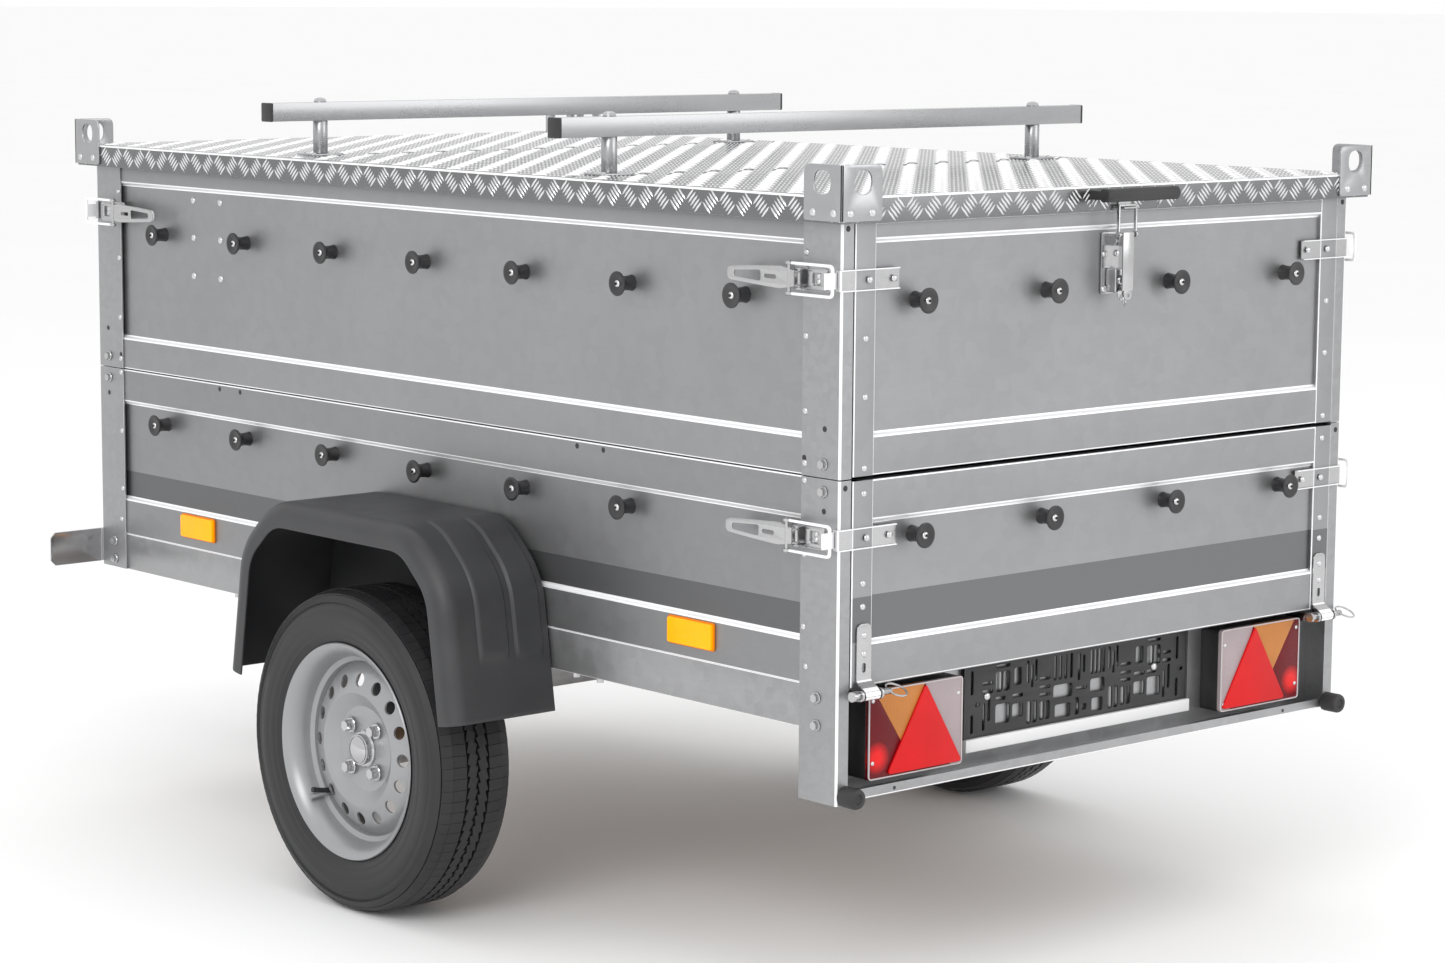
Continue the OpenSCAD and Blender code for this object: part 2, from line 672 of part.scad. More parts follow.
module lid_hinge() {
  rod_x(6, lid_hinge_x - 30, lid_hinge_x + 30, lid_pin[0], lid_pin[1]);
  rod_x(4, lid_hinge_x - 40, lid_hinge_x + 40, lid_pin[0], lid_pin[1]);
  box([lid_hinge_x - 28, lid_hinge_x + 28], [lid_y + 0.2, lid_y + 3], [lid_pin[1] + 3, lid_z - 4]);
}

eye_w = 82;
eye_top = 47;
eye_t = 4;

module eye_plate() difference() {
  polygon([[0, -36], [eye_w - 12, -36], [eye_w, -24], [eye_w, eye_top - 14], [eye_w - 14, eye_top],
    [0, eye_top]]);
  translate([eye_w / 2 + 2, eye_top - 26]) circle(18);
}

module corner_eyes() color("silver") placed() four_corners() {
  along_x(lid_x, lid_x + eye_t) translate([lid_y + eye_t, lid_z]) mirror([1, 0]) eye_plate();
  along_y(lid_y, lid_y + eye_t) translate([lid_x + eye_t, lid_z]) mirror([1, 0]) eye_plate();
}

module roof_bars() color("silver") placed() for (y = bar_y) difference() {
  translate([0, y, bar_z + 16]) along_x(-bar_half, bar_half) difference() {
    square([30, 32], center = true);
    square([26, 28], center = true);
  }
  both_sides() rod_z(5.2, bar_z - 1, bar_z + 33, bar_foot_x, y);
}

module bar_posts() placed() for (y = bar_y) both_sides() {
  color("silver") {
    rod_z(13, lid_z + 4, bar_z, bar_foot_x, y);
    translate([bar_foot_x, y, 0]) along_z(lid_z, lid_z + 4) rounded(70, 50, 6);
    rod_z(5, bar_z, bar_z + 33, bar_foot_x, y);
    translate([bar_foot_x, y, bar_z + 32]) cylinder(r = 11, h = 8, $fn = 6);
  }
  color([0.1, 0.1, 0.1]) translate([0, y, bar_z + 16]) along_x(bar_half, bar_half + 5)
    square([31, 33], center = true);
}

module lid_handle() placed() {
  color([0.1, 0.1, 0.1]) rod_x(grip_r, -83, 83, -lid_y - grip_out, lid_z - 13);
  color("silver") {
    for (x = [-80, 72]) box([x, x + 8], [-lid_y - grip_out, -lid_y], [lid_z - 20, lid_z - 6]);
    box([-14, 14], [-lid_y - 2.5, -lid_y], [box_top + 1.5, lid_z - 6]);
    box([-14, 14], [-lid_y - 15, -lid_y], [box_top + 1.5, box_top + 4]);
  }
}

// ---- gas struts ----

module strut_cylinders() color([0.1, 0.1, 0.1]) placed() both_sides()
  translate([strut_x, strut_base[0], strut_base[1]]) rotate([strut_a - 90, 0, 0]) difference() {
    union() {
      translate([0, 0, 12]) cylinder(r = 11, h = strut_l - 60);
      rotate([0, 90, 0]) translate([0, 0, -5]) cylinder(r = 10, h = 10);
      box([-5, 5], [-5, 5], [5, 14]);
    }
    rotate([0, 90, 0]) translate([0, 0, -10]) cylinder(r = 5.3, h = 20);
    translate([0, 0, 40]) cylinder(r = 5.4, h = strut_l);
  }

module strut_rods() color("lightgray") placed() both_sides()
  translate([strut_x, strut_base[0], strut_base[1]]) rotate([strut_a - 90, 0, 0]) difference() {
    union() {
      translate([0, 0, 60]) cylinder(r = 5, h = strut_l - 66);
      translate([0, 0, strut_l]) rotate([0, 90, 0]) translate([0, 0, -5]) cylinder(r = 10, h = 10);
    }
    translate([0, 0, strut_l]) rotate([0, 90, 0]) translate([0, 0, -10]) cylinder(r = 5.6, h = 20);
  }

// ---- lid lock ----

lock_pin = [gate_y - 22, lock_z];
bail_pin = [gate_y - 31, lock_z + 10];

module lock_lever() color("silver") placed() {
  rod_x(3, -17, 17, lock_pin[0], lock_pin[1]);
  rod_x(2.5, -21, 21, bail_pin[0], bail_pin[1]);
  box([-12, 12], [gate_y - 35.5, gate_y - 33], [lock_z - 78, lock_z + 13]);
  for (x = [-12, 10]) box([x, x + 2], [gate_y - 34, lock_pin[0] + 4], [lock_z - 8, lock_z + 12]);
}

module lock_bail() color("silver") placed() difference() {
  union() {
    for (x = [-21, 18]) {
      box([x, x + 3], [bail_pin[0] - 2.5, bail_pin[0] + 2.5], [bail_pin[1], box_top + 9]);
      rod_x(5, x, x + 3, bail_pin[0], bail_pin[1]);
    }
    box([-21, 21], [bail_pin[0] - 2.5, bail_pin[0] + 2.5], [box_top + 6, box_top + 9]);
  }
  rod_x(2.5 + fit, -25, 25, bail_pin[0], bail_pin[1]);
}

frame_rails();
light_beam();
floor_board();
corner_posts();
lower_side_panels();
upper_side_panels();
front_panels();
drawbar();
drawbar_clamps();
coupling_housing();
coupling_lever();
axle_beam();
mudguards();
frame_bolts();
lamp_housings();
lamp_lenses();
plate_holder();
side_reflectors();
marker_brackets();
buffers();
side_knobs();
latch_bases();
hinge_pins();
stand_leg();
swing_arm_left();
swing_arm_right();
hub_left();
hub_right();
rim_left();
rim_right();
tyre_left();
tyre_right();
lid_skin();
lid_frame();
corner_eyes();
roof_bars();
bar_posts();
lid_handle();
strut_cylinders();
strut_rods();
lower_gate();
lower_gate_straps();
lower_gate_knobs();
upper_gate();
upper_gate_straps();
upper_gate_knobs();
lock_lever();
lock_bail();
lever_rear_upper_left();
lever_rear_upper_right();
lever_rear_lower_left();
lever_rear_lower_right();
lever_front_left();
lever_front_right();
loop_rear_upper_left();
loop_rear_upper_right();
loop_rear_lower_left();
loop_rear_lower_right();
loop_front_left();
loop_front_right();
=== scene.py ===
import json
import math

import bmesh
import bpy
from mathutils import Matrix, Vector


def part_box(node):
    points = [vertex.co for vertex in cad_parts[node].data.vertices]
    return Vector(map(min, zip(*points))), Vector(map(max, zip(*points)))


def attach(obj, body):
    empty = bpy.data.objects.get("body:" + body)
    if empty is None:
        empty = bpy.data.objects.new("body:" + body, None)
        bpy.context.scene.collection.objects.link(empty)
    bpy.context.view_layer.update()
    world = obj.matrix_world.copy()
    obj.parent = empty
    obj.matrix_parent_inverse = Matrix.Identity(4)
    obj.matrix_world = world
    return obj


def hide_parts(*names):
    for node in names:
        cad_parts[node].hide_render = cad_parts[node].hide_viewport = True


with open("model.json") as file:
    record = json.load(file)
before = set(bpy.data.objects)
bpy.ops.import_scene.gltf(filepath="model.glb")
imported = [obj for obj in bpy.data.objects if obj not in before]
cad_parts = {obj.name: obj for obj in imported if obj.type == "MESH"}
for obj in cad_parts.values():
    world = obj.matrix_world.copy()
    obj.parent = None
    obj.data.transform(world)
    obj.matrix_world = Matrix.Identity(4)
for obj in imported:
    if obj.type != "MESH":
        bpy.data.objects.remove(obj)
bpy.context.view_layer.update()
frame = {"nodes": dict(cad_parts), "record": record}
postLow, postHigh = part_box("corner_posts")
midY = (postLow[1] + postHigh[1]) / 2  # middle of the box along the drawbar
mm = 0.001
bothSides = (1, -1)
bodyOf = {node: body for body, nodes in frame["record"]["behaviour"]["bodies"].items() for node in nodes}


def at(x, y, z):  # millimetres from the middle of the box, as a place in the frame
    return Vector((x * mm, y * mm + midY, z * mm))


def addNode(tree, kind, values=None, **props):
    made = tree.nodes.new(kind)
    for key, value in props.items():
        setattr(made, key, value)
    for key, value in (values or {}).items():
        if isinstance(value, bpy.types.NodeSocket):
            tree.links.new(value, made.inputs[key])
        else:
            made.inputs[key].default_value = value
    return made


def calc(tree, operation, first, second=0.0, third=0.0):
    return addNode(tree, "ShaderNodeMath", {0: first, 1: second, 2: third}, operation=operation).outputs[0]


def times(tree, first, second):
    return calc(tree, "MULTIPLY", first, second)


def centred(tree, value):  # a texture that runs from zero to one, brought round to zero
    return calc(tree, "SUBTRACT", value, 0.5)


def noise(tree, vector, scale, detail):
    return addNode(tree, "ShaderNodeTexNoise",
                   {"Vector": vector, "Scale": scale, "Detail": detail}).outputs[0]


def ramp(tree, value, low, high):
    return addNode(tree, "ShaderNodeMapRange", {0: value, 1: low, 2: high}).outputs[0]


def mixColour(tree, factor, first, second, blend="MIX"):
    made = addNode(tree, "ShaderNodeMix", {0: factor, 6: first, 7: second}, data_type="RGBA",
                   blend_type=blend)
    return made.outputs[2]


def shaded(tree, tone, level):  # the tone made lighter or darker by a level near one
    grey = addNode(tree, "ShaderNodeCombineColor", {0: level, 1: level, 2: level})
    return mixColour(tree, 1.0, tone, grey.outputs[0], "MULTIPLY")


def nodeTree(name, kind, inputs, outputs):
    tree = bpy.data.node_groups.new(name, kind)
    for direction, sockets in (("INPUT", inputs), ("OUTPUT", outputs)):
        for label, socketKind, *value in sockets:
            socket = tree.interface.new_socket(name=label, in_out=direction,
                                               socket_type="NodeSocket" + socketKind)
            if value:
                socket.default_value = value[0]
    return tree, tree.nodes.new("NodeGroupInput").outputs, tree.nodes.new("NodeGroupOutput").inputs


skinOutputs = [("Colour", "Color"), ("Roughness", "Float"), ("Height", "Float")]


def buildZincSkin():
    tree, given, out = nodeTree("zincSkin", "ShaderNodeTree", [
        ("Position", "Vector"), ("Tone", "Color", (0.5, 0.5, 0.5, 1)), ("Variation", "Float", 0.2),
        ("Crystal Scale", "Float", 70.0), ("Polish", "Float", 0.4), ("Scratches", "Float", 0.3)], skinOutputs)
    place = given["Position"]
    crystal = addNode(tree, "ShaderNodeTexVoronoi", {"Vector": place, "Scale": given["Crystal Scale"]})
    tint = addNode(tree, "ShaderNodeSeparateColor", {0: crystal.outputs["Color"]}).outputs[0]
    stretched = addNode(tree, "ShaderNodeMapping", {"Vector": place, "Scale": (7, 7, 60)}).outputs[0]
    blotch = centred(tree, noise(tree, place, 2.6, 4.0))
    facet = times(tree, centred(tree, tint), 0.28)
    scratch = times(tree, centred(tree, noise(tree, stretched, 3.0, 6.0)), given["Scratches"])
    total = calc(tree, "ADD", calc(tree, "ADD", blotch, facet), scratch)
    level = calc(tree, "MULTIPLY_ADD", total, given["Variation"], 1.0)
    tree.links.new(shaded(tree, given["Tone"], level), out["Colour"])
    rough = calc(tree, "MULTIPLY_ADD", total, times(tree, given["Variation"], 0.6), given["Polish"])
    tree.links.new(rough, out["Roughness"])
    fine = times(tree, noise(tree, place, 420.0, 2.0), 0.5)
    tree.links.new(calc(tree, "ADD", fine, times(tree, tint, 0.3)), out["Height"])
    return tree


def buildMouldedGrain():
    tree, given, out = nodeTree("mouldedGrain", "ShaderNodeTree", [
        ("Position", "Vector"), ("Tone", "Color", (0.03, 0.03, 0.03, 1)), ("Grain Scale", "Float", 900.0),
        ("Variation", "Float", 0.3), ("Polish", "Float", 0.5), ("Dust", "Float", 0.05)], skinOutputs)
    place = given["Position"]
    coarse = noise(tree, place, 9.0, 5.0)
    grain = addNode(tree, "ShaderNodeTexVoronoi", {"Vector": place, "Scale": given["Grain Scale"]})
    shift = centred(tree, coarse)
    plain = shaded(tree, given["Tone"], calc(tree, "MULTIPLY_ADD", shift, given["Variation"], 1.0))
    film = times(tree, ramp(tree, coarse, 0.45, 0.8), given["Dust"])
    tree.links.new(mixColour(tree, film, plain, (0.42, 0.41, 0.39, 1)), out["Colour"])
    rough = calc(tree, "MULTIPLY_ADD", shift, 0.25, given["Polish"])
    tree.links.new(calc(tree, "ADD", rough, film), out["Roughness"])
    tree.links.new(grain.outputs["Distance"], out["Height"])
    return tree


# edges made lighter by pointiness: partly wear, partly painted highlight on the edges
def buildEdgeWearAndHighlight():
    tree, given, out = nodeTree("edgeWearAndHighlight", "ShaderNodeTree",
                                [("Position", "Vector"), ("Amount", "Float", 0.5)], [("Mask", "Float")])
    form = addNode(tree, "ShaderNodeNewGeometry")
    ridge = ramp(tree, form.outputs["Pointiness"], 0.52, 0.62)
    rubbedAndLit = times(tree, ridge, ramp(tree, noise(tree, given["Position"], 35.0, 5.0), 0.35, 0.6))
    tree.links.new(times(tree, rubbedAndLit, given["Amount"]), out["Mask"])
    return tree


zincSkin = buildZincSkin()
mouldedGrain = buildMouldedGrain()
edgeWearAndHighlight = buildEdgeWearAndHighlight()


def blankMaterial(name):
    made = bpy.data.materials.new(name)
    made.use_nodes = True
    tree = made.node_tree
    tree.nodes.clear()
    out = tree.nodes.new("ShaderNodeOutputMaterial")
    shader = tree.nodes.new("ShaderNodeBsdfPrincipled")
    tree.links.new(shader.outputs[0], out.inputs[0])
    position = tree.nodes.new("ShaderNodeTexCoord").outputs["Object"]
    return made, tree, shader, position


def useGroup(tree, group, values):
    return addNode(tree, "ShaderNodeGroup", values, node_tree=group).outputs


def addBump(tree, shader, height, strength, distance):
    bump = addNode(tree, "ShaderNodeBump", {"Height": height, "Strength": strength, "Distance": distance})
    tree.links.new(bump.outputs[0], shader.inputs["Normal"])


def wearSkin(tree, shader, colour, skin, strength, distance):
    tree.links.new(colour, shader.inputs["Base Color"])
    tree.links.new(skin["Roughness"], shader.inputs["Roughness"])
    addBump(tree, shader, skin["Height"], strength, distance)


def zinc(name, tone, variation=0.2, crystals=70.0, polish=0.4, metal=0.9, bump=0.12, scratches=0.3,
         band=None):
    made, tree, shader, position = blankMaterial(name)
    skin = useGroup(tree, zincSkin, {"Position": position, "Tone": (*tone, 1), "Variation": variation,
                                     "Crystal Scale": crystals, "Polish": polish, "Scratches": scratches})
    colour = skin["Colour"]
    if band:  # a darker printed stripe between two heights
        low, high, bandTone = band
        height = addNode(tree, "ShaderNodeSeparateXYZ", {0: position}).outputs[2]
        inside = times(tree, calc(tree, "GREATER_THAN", height, low), calc(tree, "LESS_THAN", height, high))
        colour = mixColour(tree, inside, colour, (*bandTone, 1))
    shader.inputs["Metallic"].default_value = metal
    wearSkin(tree, shader, colour, skin, bump, 0.0006)
    return made


def moulded(name, tone, grain=900.0, variation=0.3, polish=0.5, dust=0.05, bump=0.1, wearAndHighlight=0.0,
            rubbedAndLitTone=(0.2, 0.2, 0.2)):
    made, tree, shader, position = blankMaterial(name)
    skin = useGroup(tree, mouldedGrain, {"Position": position, "Tone": (*tone, 1), "Grain Scale": grain,
                                         "Variation": variation, "Polish": polish, "Dust": dust})
    colour = skin["Colour"]
    # lighter edges: partly wear, partly painted highlight
    if wearAndHighlight:
        mask = useGroup(tree, edgeWearAndHighlight, {"Position": position, "Amount": wearAndHighlight})["Mask"]
        colour = mixColour(tree, mask, colour, (*rubbedAndLitTone, 1))
    wearSkin(tree, shader, colour, skin, bump, 0.0004)
    return made


boardZinc = zinc("boardZinc", (0.32, 0.322, 0.328), 0.2, 46.0, 0.43, 0.85, 0.06)
bandedZinc = zinc("bandedZinc", (0.29, 0.292, 0.298), 0.2, 46.0, 0.43, 0.85, 0.06,
                  band=(0.572, 0.624, (0.155, 0.157, 0.161)))
postZinc = zinc("postZinc", (0.35, 0.352, 0.358), 0.3, 90.0, 0.4, 0.85, 0.1)
# near-white zinc: painted highlight on the folds, bead slopes and bevelled edges, and also the bright zinc of
# the latch loops and lever rims
foldHighlightAndBrightZinc = zinc("foldHighlightAndBrightZinc", (0.93, 0.93, 0.94), 0.1, 60.0, 0.3, 0.35, 0.05)
frameZinc = zinc("frameZinc", (0.36, 0.362, 0.368), 0.35, 55.0, 0.38, 0.85, 0.12)
platedSteel = zinc("platedSteel", (0.50, 0.50, 0.505), 0.16, 220.0, 0.24, 1.0, 0.08)
rivetSteel = zinc("rivetSteel", (0.62, 0.62, 0.63), 0.15, 300.0, 0.28, 0.9, 0.05)
# the lid plate and its raised bars are one aluminium: the plate is painted darker as shade, the bars lighter
# as painted highlight
shadedTreadAlloy = zinc("shadedTreadAlloy", (0.20, 0.202, 0.206), 0.14, 30.0, 0.26, 0.95, 0.05)
litBarAlloy = zinc("litBarAlloy", (0.74, 0.74, 0.75), 0.08, 60.0, 0.2, 0.8, 0.03)
tubeAlloy = zinc("tubeAlloy", (0.40, 0.403, 0.41), 0.1, 40.0, 0.28, 0.9, 0.04, 0.8)
darkCast = zinc("darkCast", (0.12, 0.12, 0.125), 0.5, 160.0, 0.5, 0.6, 0.3)
rimPaint = zinc("rimPaint", (0.34, 0.343, 0.35), 0.04, 40.0, 0.34, 0.45, 0.01, 0.02)
capChrome = zinc("capChrome", (0.52, 0.52, 0.53), 0.05, 40.0, 0.1, 1.0, 0.02)
gateBanded = zinc("gateBanded", (0.32, 0.322, 0.328), 0.2, 46.0, 0.42, 0.85, 0.06,
                  band=(0.572, 0.640, (0.175, 0.177, 0.181)))
knobPlastic = moulded("knobPlastic", (0.018, 0.018, 0.02), 1200.0, polish=0.34, bump=0.05)
buffRubber = moulded("buffRubber", (0.02, 0.02, 0.021), 700.0, polish=0.6, wearAndHighlight=0.3,
                     rubbedAndLitTone=(0.08, 0.08, 0.08))
guardPlastic = moulded("guardPlastic", (0.03, 0.0305, 0.033), 640.0, polish=0.45, bump=0.12, wearAndHighlight=0.3,
                       rubbedAndLitTone=(0.12, 0.12, 0.125), dust=0.03)
lampPlastic = moulded("lampPlastic", (0.016, 0.016, 0.017), 1000.0, polish=0.42)
tyreRubber = moulded("tyreRubber", (0.014, 0.014, 0.0155), 500.0, dust=0.03)
gripRubber = moulded("gripRubber", (0.014, 0.014, 0.015), polish=0.45)
whiteStrip = moulded("whiteStrip", (0.86, 0.86, 0.86), 300.0, polish=0.35, variation=0.06, bump=0.02)


def lens(name, tone, polish, glow=0.0, grid=0.0, highlightPools=()):
    made, tree, shader, position = blankMaterial(name)
    cloud = noise(tree, position, 14.0, 3.0)
    colour = shaded(tree, (*tone, 1), calc(tree, "MULTIPLY_ADD", centred(tree, cloud), 0.35, 1.0))
    for spot, radius, highlightTone in highlightPools:  # painted highlight: a brighter pool on the lens over each bulb behind it
        reach = addNode(tree, "ShaderNodeVectorMath", {0: position, 1: spot}, operation="DISTANCE")
        near = ramp(tree, reach.outputs["Value"], radius, radius * 0.35)
        colour = mixColour(tree, near, colour, (*highlightTone, 1))
    tree.links.new(colour, shader.inputs["Base Color"])
    tree.links.new(calc(tree, "MULTIPLY_ADD", cloud, 0.08, polish), shader.inputs["Roughness"])
    for label, value in (("Coat Weight", 0.06), ("Coat Roughness", 0.06), ("Specular IOR Level", 0.22)):
        shader.inputs[label].default_value = value
    # painted glow: emission on a lens that no lamp lights
    if glow:
        tree.links.new(colour, shader.inputs["Emission Color"])
        shader.inputs["Emission Strength"].default_value = glow
    if grid:
        prisms = addNode(tree, "ShaderNodeTexVoronoi", {"Vector": position, "Scale": grid, "Randomness": 0.0})
        addBump(tree, shader, prisms.outputs["Distance"], 0.5, 0.0012)
    return made


# painted highlight at each bulb behind the red tail lens
bulbHighlightPlan = {"x": 484, "y": -1010, "z": 386, "reach": 26.0, "tone": (0.75, 0.012, 0.012)}
bulbHighlights = [(tuple(at(side * bulbHighlightPlan["x"], bulbHighlightPlan["y"], bulbHighlightPlan["z"])), bulbHighlightPlan["reach"] * mm,
          bulbHighlightPlan["tone"])
         for side in bothSides]
redLens = lens("redLens", (0.60, 0.003, 0.005), 0.3)
redTail = lens("redTail", (0.13, 0.002, 0.006), 0.14, 0.0, 330.0, bulbHighlights)
amberWedge = lens("amberWedge", (0.50, 0.19, 0.045), 0.14, 0.0, 330.0)
whiteLens = lens("whiteLens", (0.36, 0.30, 0.31), 0.16, 0.0, 330.0)
rimLens = lens("rimLens", (0.52, 0.47, 0.48), 0.1)
# the side reflectors get painted glow, standing in for the light they reflect
amberSideGlowing = lens("amberSideGlowing", (1.0, 0.36, 0.0), 0.16, 0.4, 260.0)
amberBase = lens("amberBase", (0.75, 0.2, 0.0), 0.3)
frontLens = lens("frontLens", (0.76, 0.76, 0.76), 0.14, 0.0, 260.0)


def plywood(name):
    made, tree, shader, position = blankMaterial(name)
    along = addNode(tree, "ShaderNodeMapping", {"Vector": position, "Scale": (22, 1.6, 22)}).outputs[0]
    rings = noise(tree, along, 2.4, 7.0)
    plies = addNode(tree, "ShaderNodeTexWave", {"Vector": position, "Scale": 110.0, "Distortion": 0.4},
                    bands_direction="Z").outputs[0]
    form = addNode(tree, "ShaderNodeNewGeometry")
    upright = addNode(tree, "ShaderNodeSeparateXYZ", {0: form.outputs["Normal"]}).outputs[2]
    flat = calc(tree, "GREATER_THAN", calc(tree, "ABSOLUTE", upright), 0.5)
    face = mixColour(tree, rings, (0.16, 0.08, 0.04, 1), (0.34, 0.2, 0.1, 1))
    edge = mixColour(tree, plies, (0.2, 0.11, 0.05, 1), (0.5, 0.34, 0.19, 1))
    tree.links.new(mixColour(tree, flat, edge, face), shader.inputs["Base Color"])
    tree.links.new(calc(tree, "MULTIPLY_ADD", rings, 0.2, 0.4), shader.inputs["Roughness"])
    addBump(tree, shader, rings, 0.15, 0.0006)
    return made


deckPly = plywood("deckPly")
print("materials ready")


def newObject(name, data):
    made = bpy.data.objects.new(name, data)
    bpy.context.scene.collection.objects.link(made)
    return made


def shadeFaces(mesh, angle):  # smooth, but sharp where faces meet at more than the angle
    mesh.shade_smooth()
    mesh.set_sharp_from_angle(angle=math.radians(angle))


def toObject(name, bm, looks, smoothAngle=35.0):
    bmesh.ops.remove_doubles(bm, verts=bm.verts, dist=1e-6)
    bmesh.ops.recalc_face_normals(bm, faces=bm.faces)
    mesh = bpy.data.meshes.new(name)
    bm.to_mesh(mesh)
    bm.free()
    for look in looks:
        mesh.materials.append(look)
    shadeFaces(mesh, smoothAngle)
    return newObject(name, mesh)


def bakeModifiers(piece, smoothAngle):
    graph = bpy.context.evaluated_depsgraph_get()
    graph.update()
    mesh = bpy.data.meshes.new_from_object(piece.evaluated_get(graph), preserve_all_data_layers=True,
                                           depsgraph=graph)
    piece.modifiers.clear()
    piece.data = mesh
    shadeFaces(mesh, smoothAngle)
    return piece


def addBevel(piece, name, width, segments, angle):
    modifier = piece.modifiers.new(name, "BEVEL")
    modifier.width = width * mm
    modifier.segments = segments
    modifier.limit_method = "ANGLE"
    modifier.angle_limit = math.radians(angle)
    return modifier


def bevelled(piece, width, segments=2, highlightSlot=-1):
    # the bevelled edges take the highlight slot, a painted highlight, when one is given
    addBevel(piece, "softEdges", width, segments, 32.0).material = highlightSlot
    return bakeModifiers(piece, 40.0)


def settle(piece, node, stands=True):
    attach(piece, bodyOf[node])
    if stands:
        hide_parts(node)
    return piece


def refine(node, look, edge=None, width=0.8, segments=2):  # a CAD node with soft edges and its finish; the edge look, when given, is painted highlight on the bevels
    bm = bmesh.new()
    bm.from_mesh(frame["nodes"][node].data)
    bmesh.ops.remove_doubles(bm, verts=bm.verts, dist=2e-6)
    bmesh.ops.dissolve_limit(bm, angle_limit=math.radians(0.4), verts=bm.verts, edges=bm.edges)
    piece = toObject(node + "_finish", bm, [look, edge] if edge else [look])
    return settle(bevelled(piece, width, segments, 1 if edge else -1), node)


def join(pieces, name):
    bpy.ops.object.select_all(action="DESELECT")
    for piece in pieces:
        piece.select_set(True)
    bpy.context.view_layer.objects.active = pieces[0]
    bpy.ops.object.join()
    joined = bpy.context.view_layer.objects.active
    joined.name = name
    joined.data.set_sharp_from_angle(angle=math.radians(35))
    return joined


def finishParts(parts, node):
    return settle(join(parts, node + "_finish"), node)


def cornerArc(before, corner, after, radius, steps, most):  # points round a corner, from one edge to the next
    p = Vector(corner)
    a, b = Vector(before) - p, Vector(after) - p
    r = min(radius, a.length * most, b.length * most)
    if r < 0.01:
        return [p]
    start, end = p + a.normalized() * r, p + b.normalized() * r
    shares = [k / steps for k in range(steps + 1)]
    return [(1 - t) ** 2 * start + 2 * t * (1 - t) * p + t * t * end for t in shares]


def filleted(path, radius, steps=4):  # points and, for each segment that follows, whether it is an arc
    points, arcs = [Vector(path[0])], [False]
    for before, corner, after in zip(path, path[1:], path[2:]):
        turn = cornerArc(before, corner, after, radius, steps, 0.45)
        points += turn
        arcs += [True] * (len(turn) - 1) + [False]
    return points + [Vector(path[-1])], arcs + [False]


def arcLoop(points, radii, steps=5):  # closed outline with each corner rounded
    loop = []
    for i, corner in enumerate(points):
        radius = radii[i] if isinstance(radii, (list, tuple)) else radii
        loop += cornerArc(points[i - 1], corner, points[(i + 1) % len(points)], radius, steps, 0.49)
    return [tuple(p) for p in loop]


def roundRect(x0, y0, x1, y1, r, steps=5):
    return arcLoop([(x0, y0), (x1, y0), (x1, y1), (x0, y1)], r, steps)


def circleLoop(x, y, r, count):
    turns = [2 * math.pi * k / count for k in range(count)]
    return [(x + r * math.cos(turn), y + r * math.sin(turn)) for turn in turns]


def offsetPath(points, thickness):
    out = []
    for i, p in enumerate(points):
        a = (p - points[i - 1]).normalized() if i else (points[1] - p).normalized()
        b = (points[i + 1] - p).normalized() if i < len(points) - 1 else a
        n = Vector((-a[1], a[0])) + Vector((-b[1], b[0]))
        out.append(p + n * (2 * thickness / n.length_squared))
    return out


def sheetAlong(bm, axis, path, thickness, span, radius=3.0, flip=(1, 1, 1), highlightSpots=(), stations=1):
    # a folded sheet that runs along one axis; its arcs and the folds near the highlight spots take
    # the edge finish, a painted highlight
    points, arcs = filleted(path, radius)
    ring = points + offsetPath(points, thickness)[::-1]
    count, size = len(points), len(ring)
    order = {"x": (2, 0, 1), "y": (0, 2, 1), "z": (0, 1, 2)}[axis]

    def place(p, t):
        raw = (p[0], p[1], t)
        return at(*(flip[k] * raw[order[k]] for k in range(3)))
    rows = [[bm.verts.new(place(p, span[0] + (span[1] - span[0]) * s / stations)) for p in ring]
            for s in range(stations + 1)]
    slots = [0] * size
    for i in range(count - 1):
        middle = (ring[i] + ring[i + 1]) / 2
        slots[i] = int(arcs[i] or any((middle - Vector(b)).length < 4.0 for b in highlightSpots))
    for row, nextRow in zip(rows, rows[1:]):
        for i in range(size):
            j = (i + 1) % size
            bm.faces.new((row[i], row[j], nextRow[j], nextRow[i])).material_index = slots[i]
    for row in (rows[0], rows[-1]):
        for i in range(count - 1):
            bm.faces.new((row[i], row[i + 1], row[size - 2 - i], row[size - 1 - i]))


def boxIn(bm, low, high, slot=0):
    made = bmesh.ops.create_cube(bm, size=1.0)
    a, b = at(*low), at(*high)
    for v in made["verts"]:
        v.co = Vector((a[k] + (v.co[k] + 0.5) * (b[k] - a[k]) for k in range(3)))
    for face in {f for v in made["verts"] for f in v.link_faces}:
        face.material_index = slot


def latheIn(bm, profile, centre, axis, segments, closed=False):
    # profile: (along, radius) pairs in mm; the shape turns about the axis through the centre
    turn = Vector((0, 0, 1)).rotation_difference(Vector(axis)).to_matrix()
    rings = []
    for along, radius in profile:
        spokes = circleLoop(0, 0, radius * mm, segments if radius else 1)
        rings.append([bm.verts.new(Vector(centre) + turn @ Vector((x, y, along * mm))) for x, y in spokes])
    for first, second in zip(rings, rings[1:] + (rings[:1] if closed else [])):
        for k in range(segments):
            n = (k + 1) % segments
            corners = [ring[i % len(ring)] for ring, i in ((first, k), (first, n), (second, n), (second, k))]
            corners = list(dict.fromkeys(corners))  # a ring on the axis is one vertex
            if len(corners) > 2:
                bm.faces.new(corners)


def turnedPart(name, profile, centre, axis, look, segments, angle=30.0):
    bm = bmesh.new()
    latheIn(bm, profile, centre, axis, segments)
    return toObject(name, bm, [look], angle)


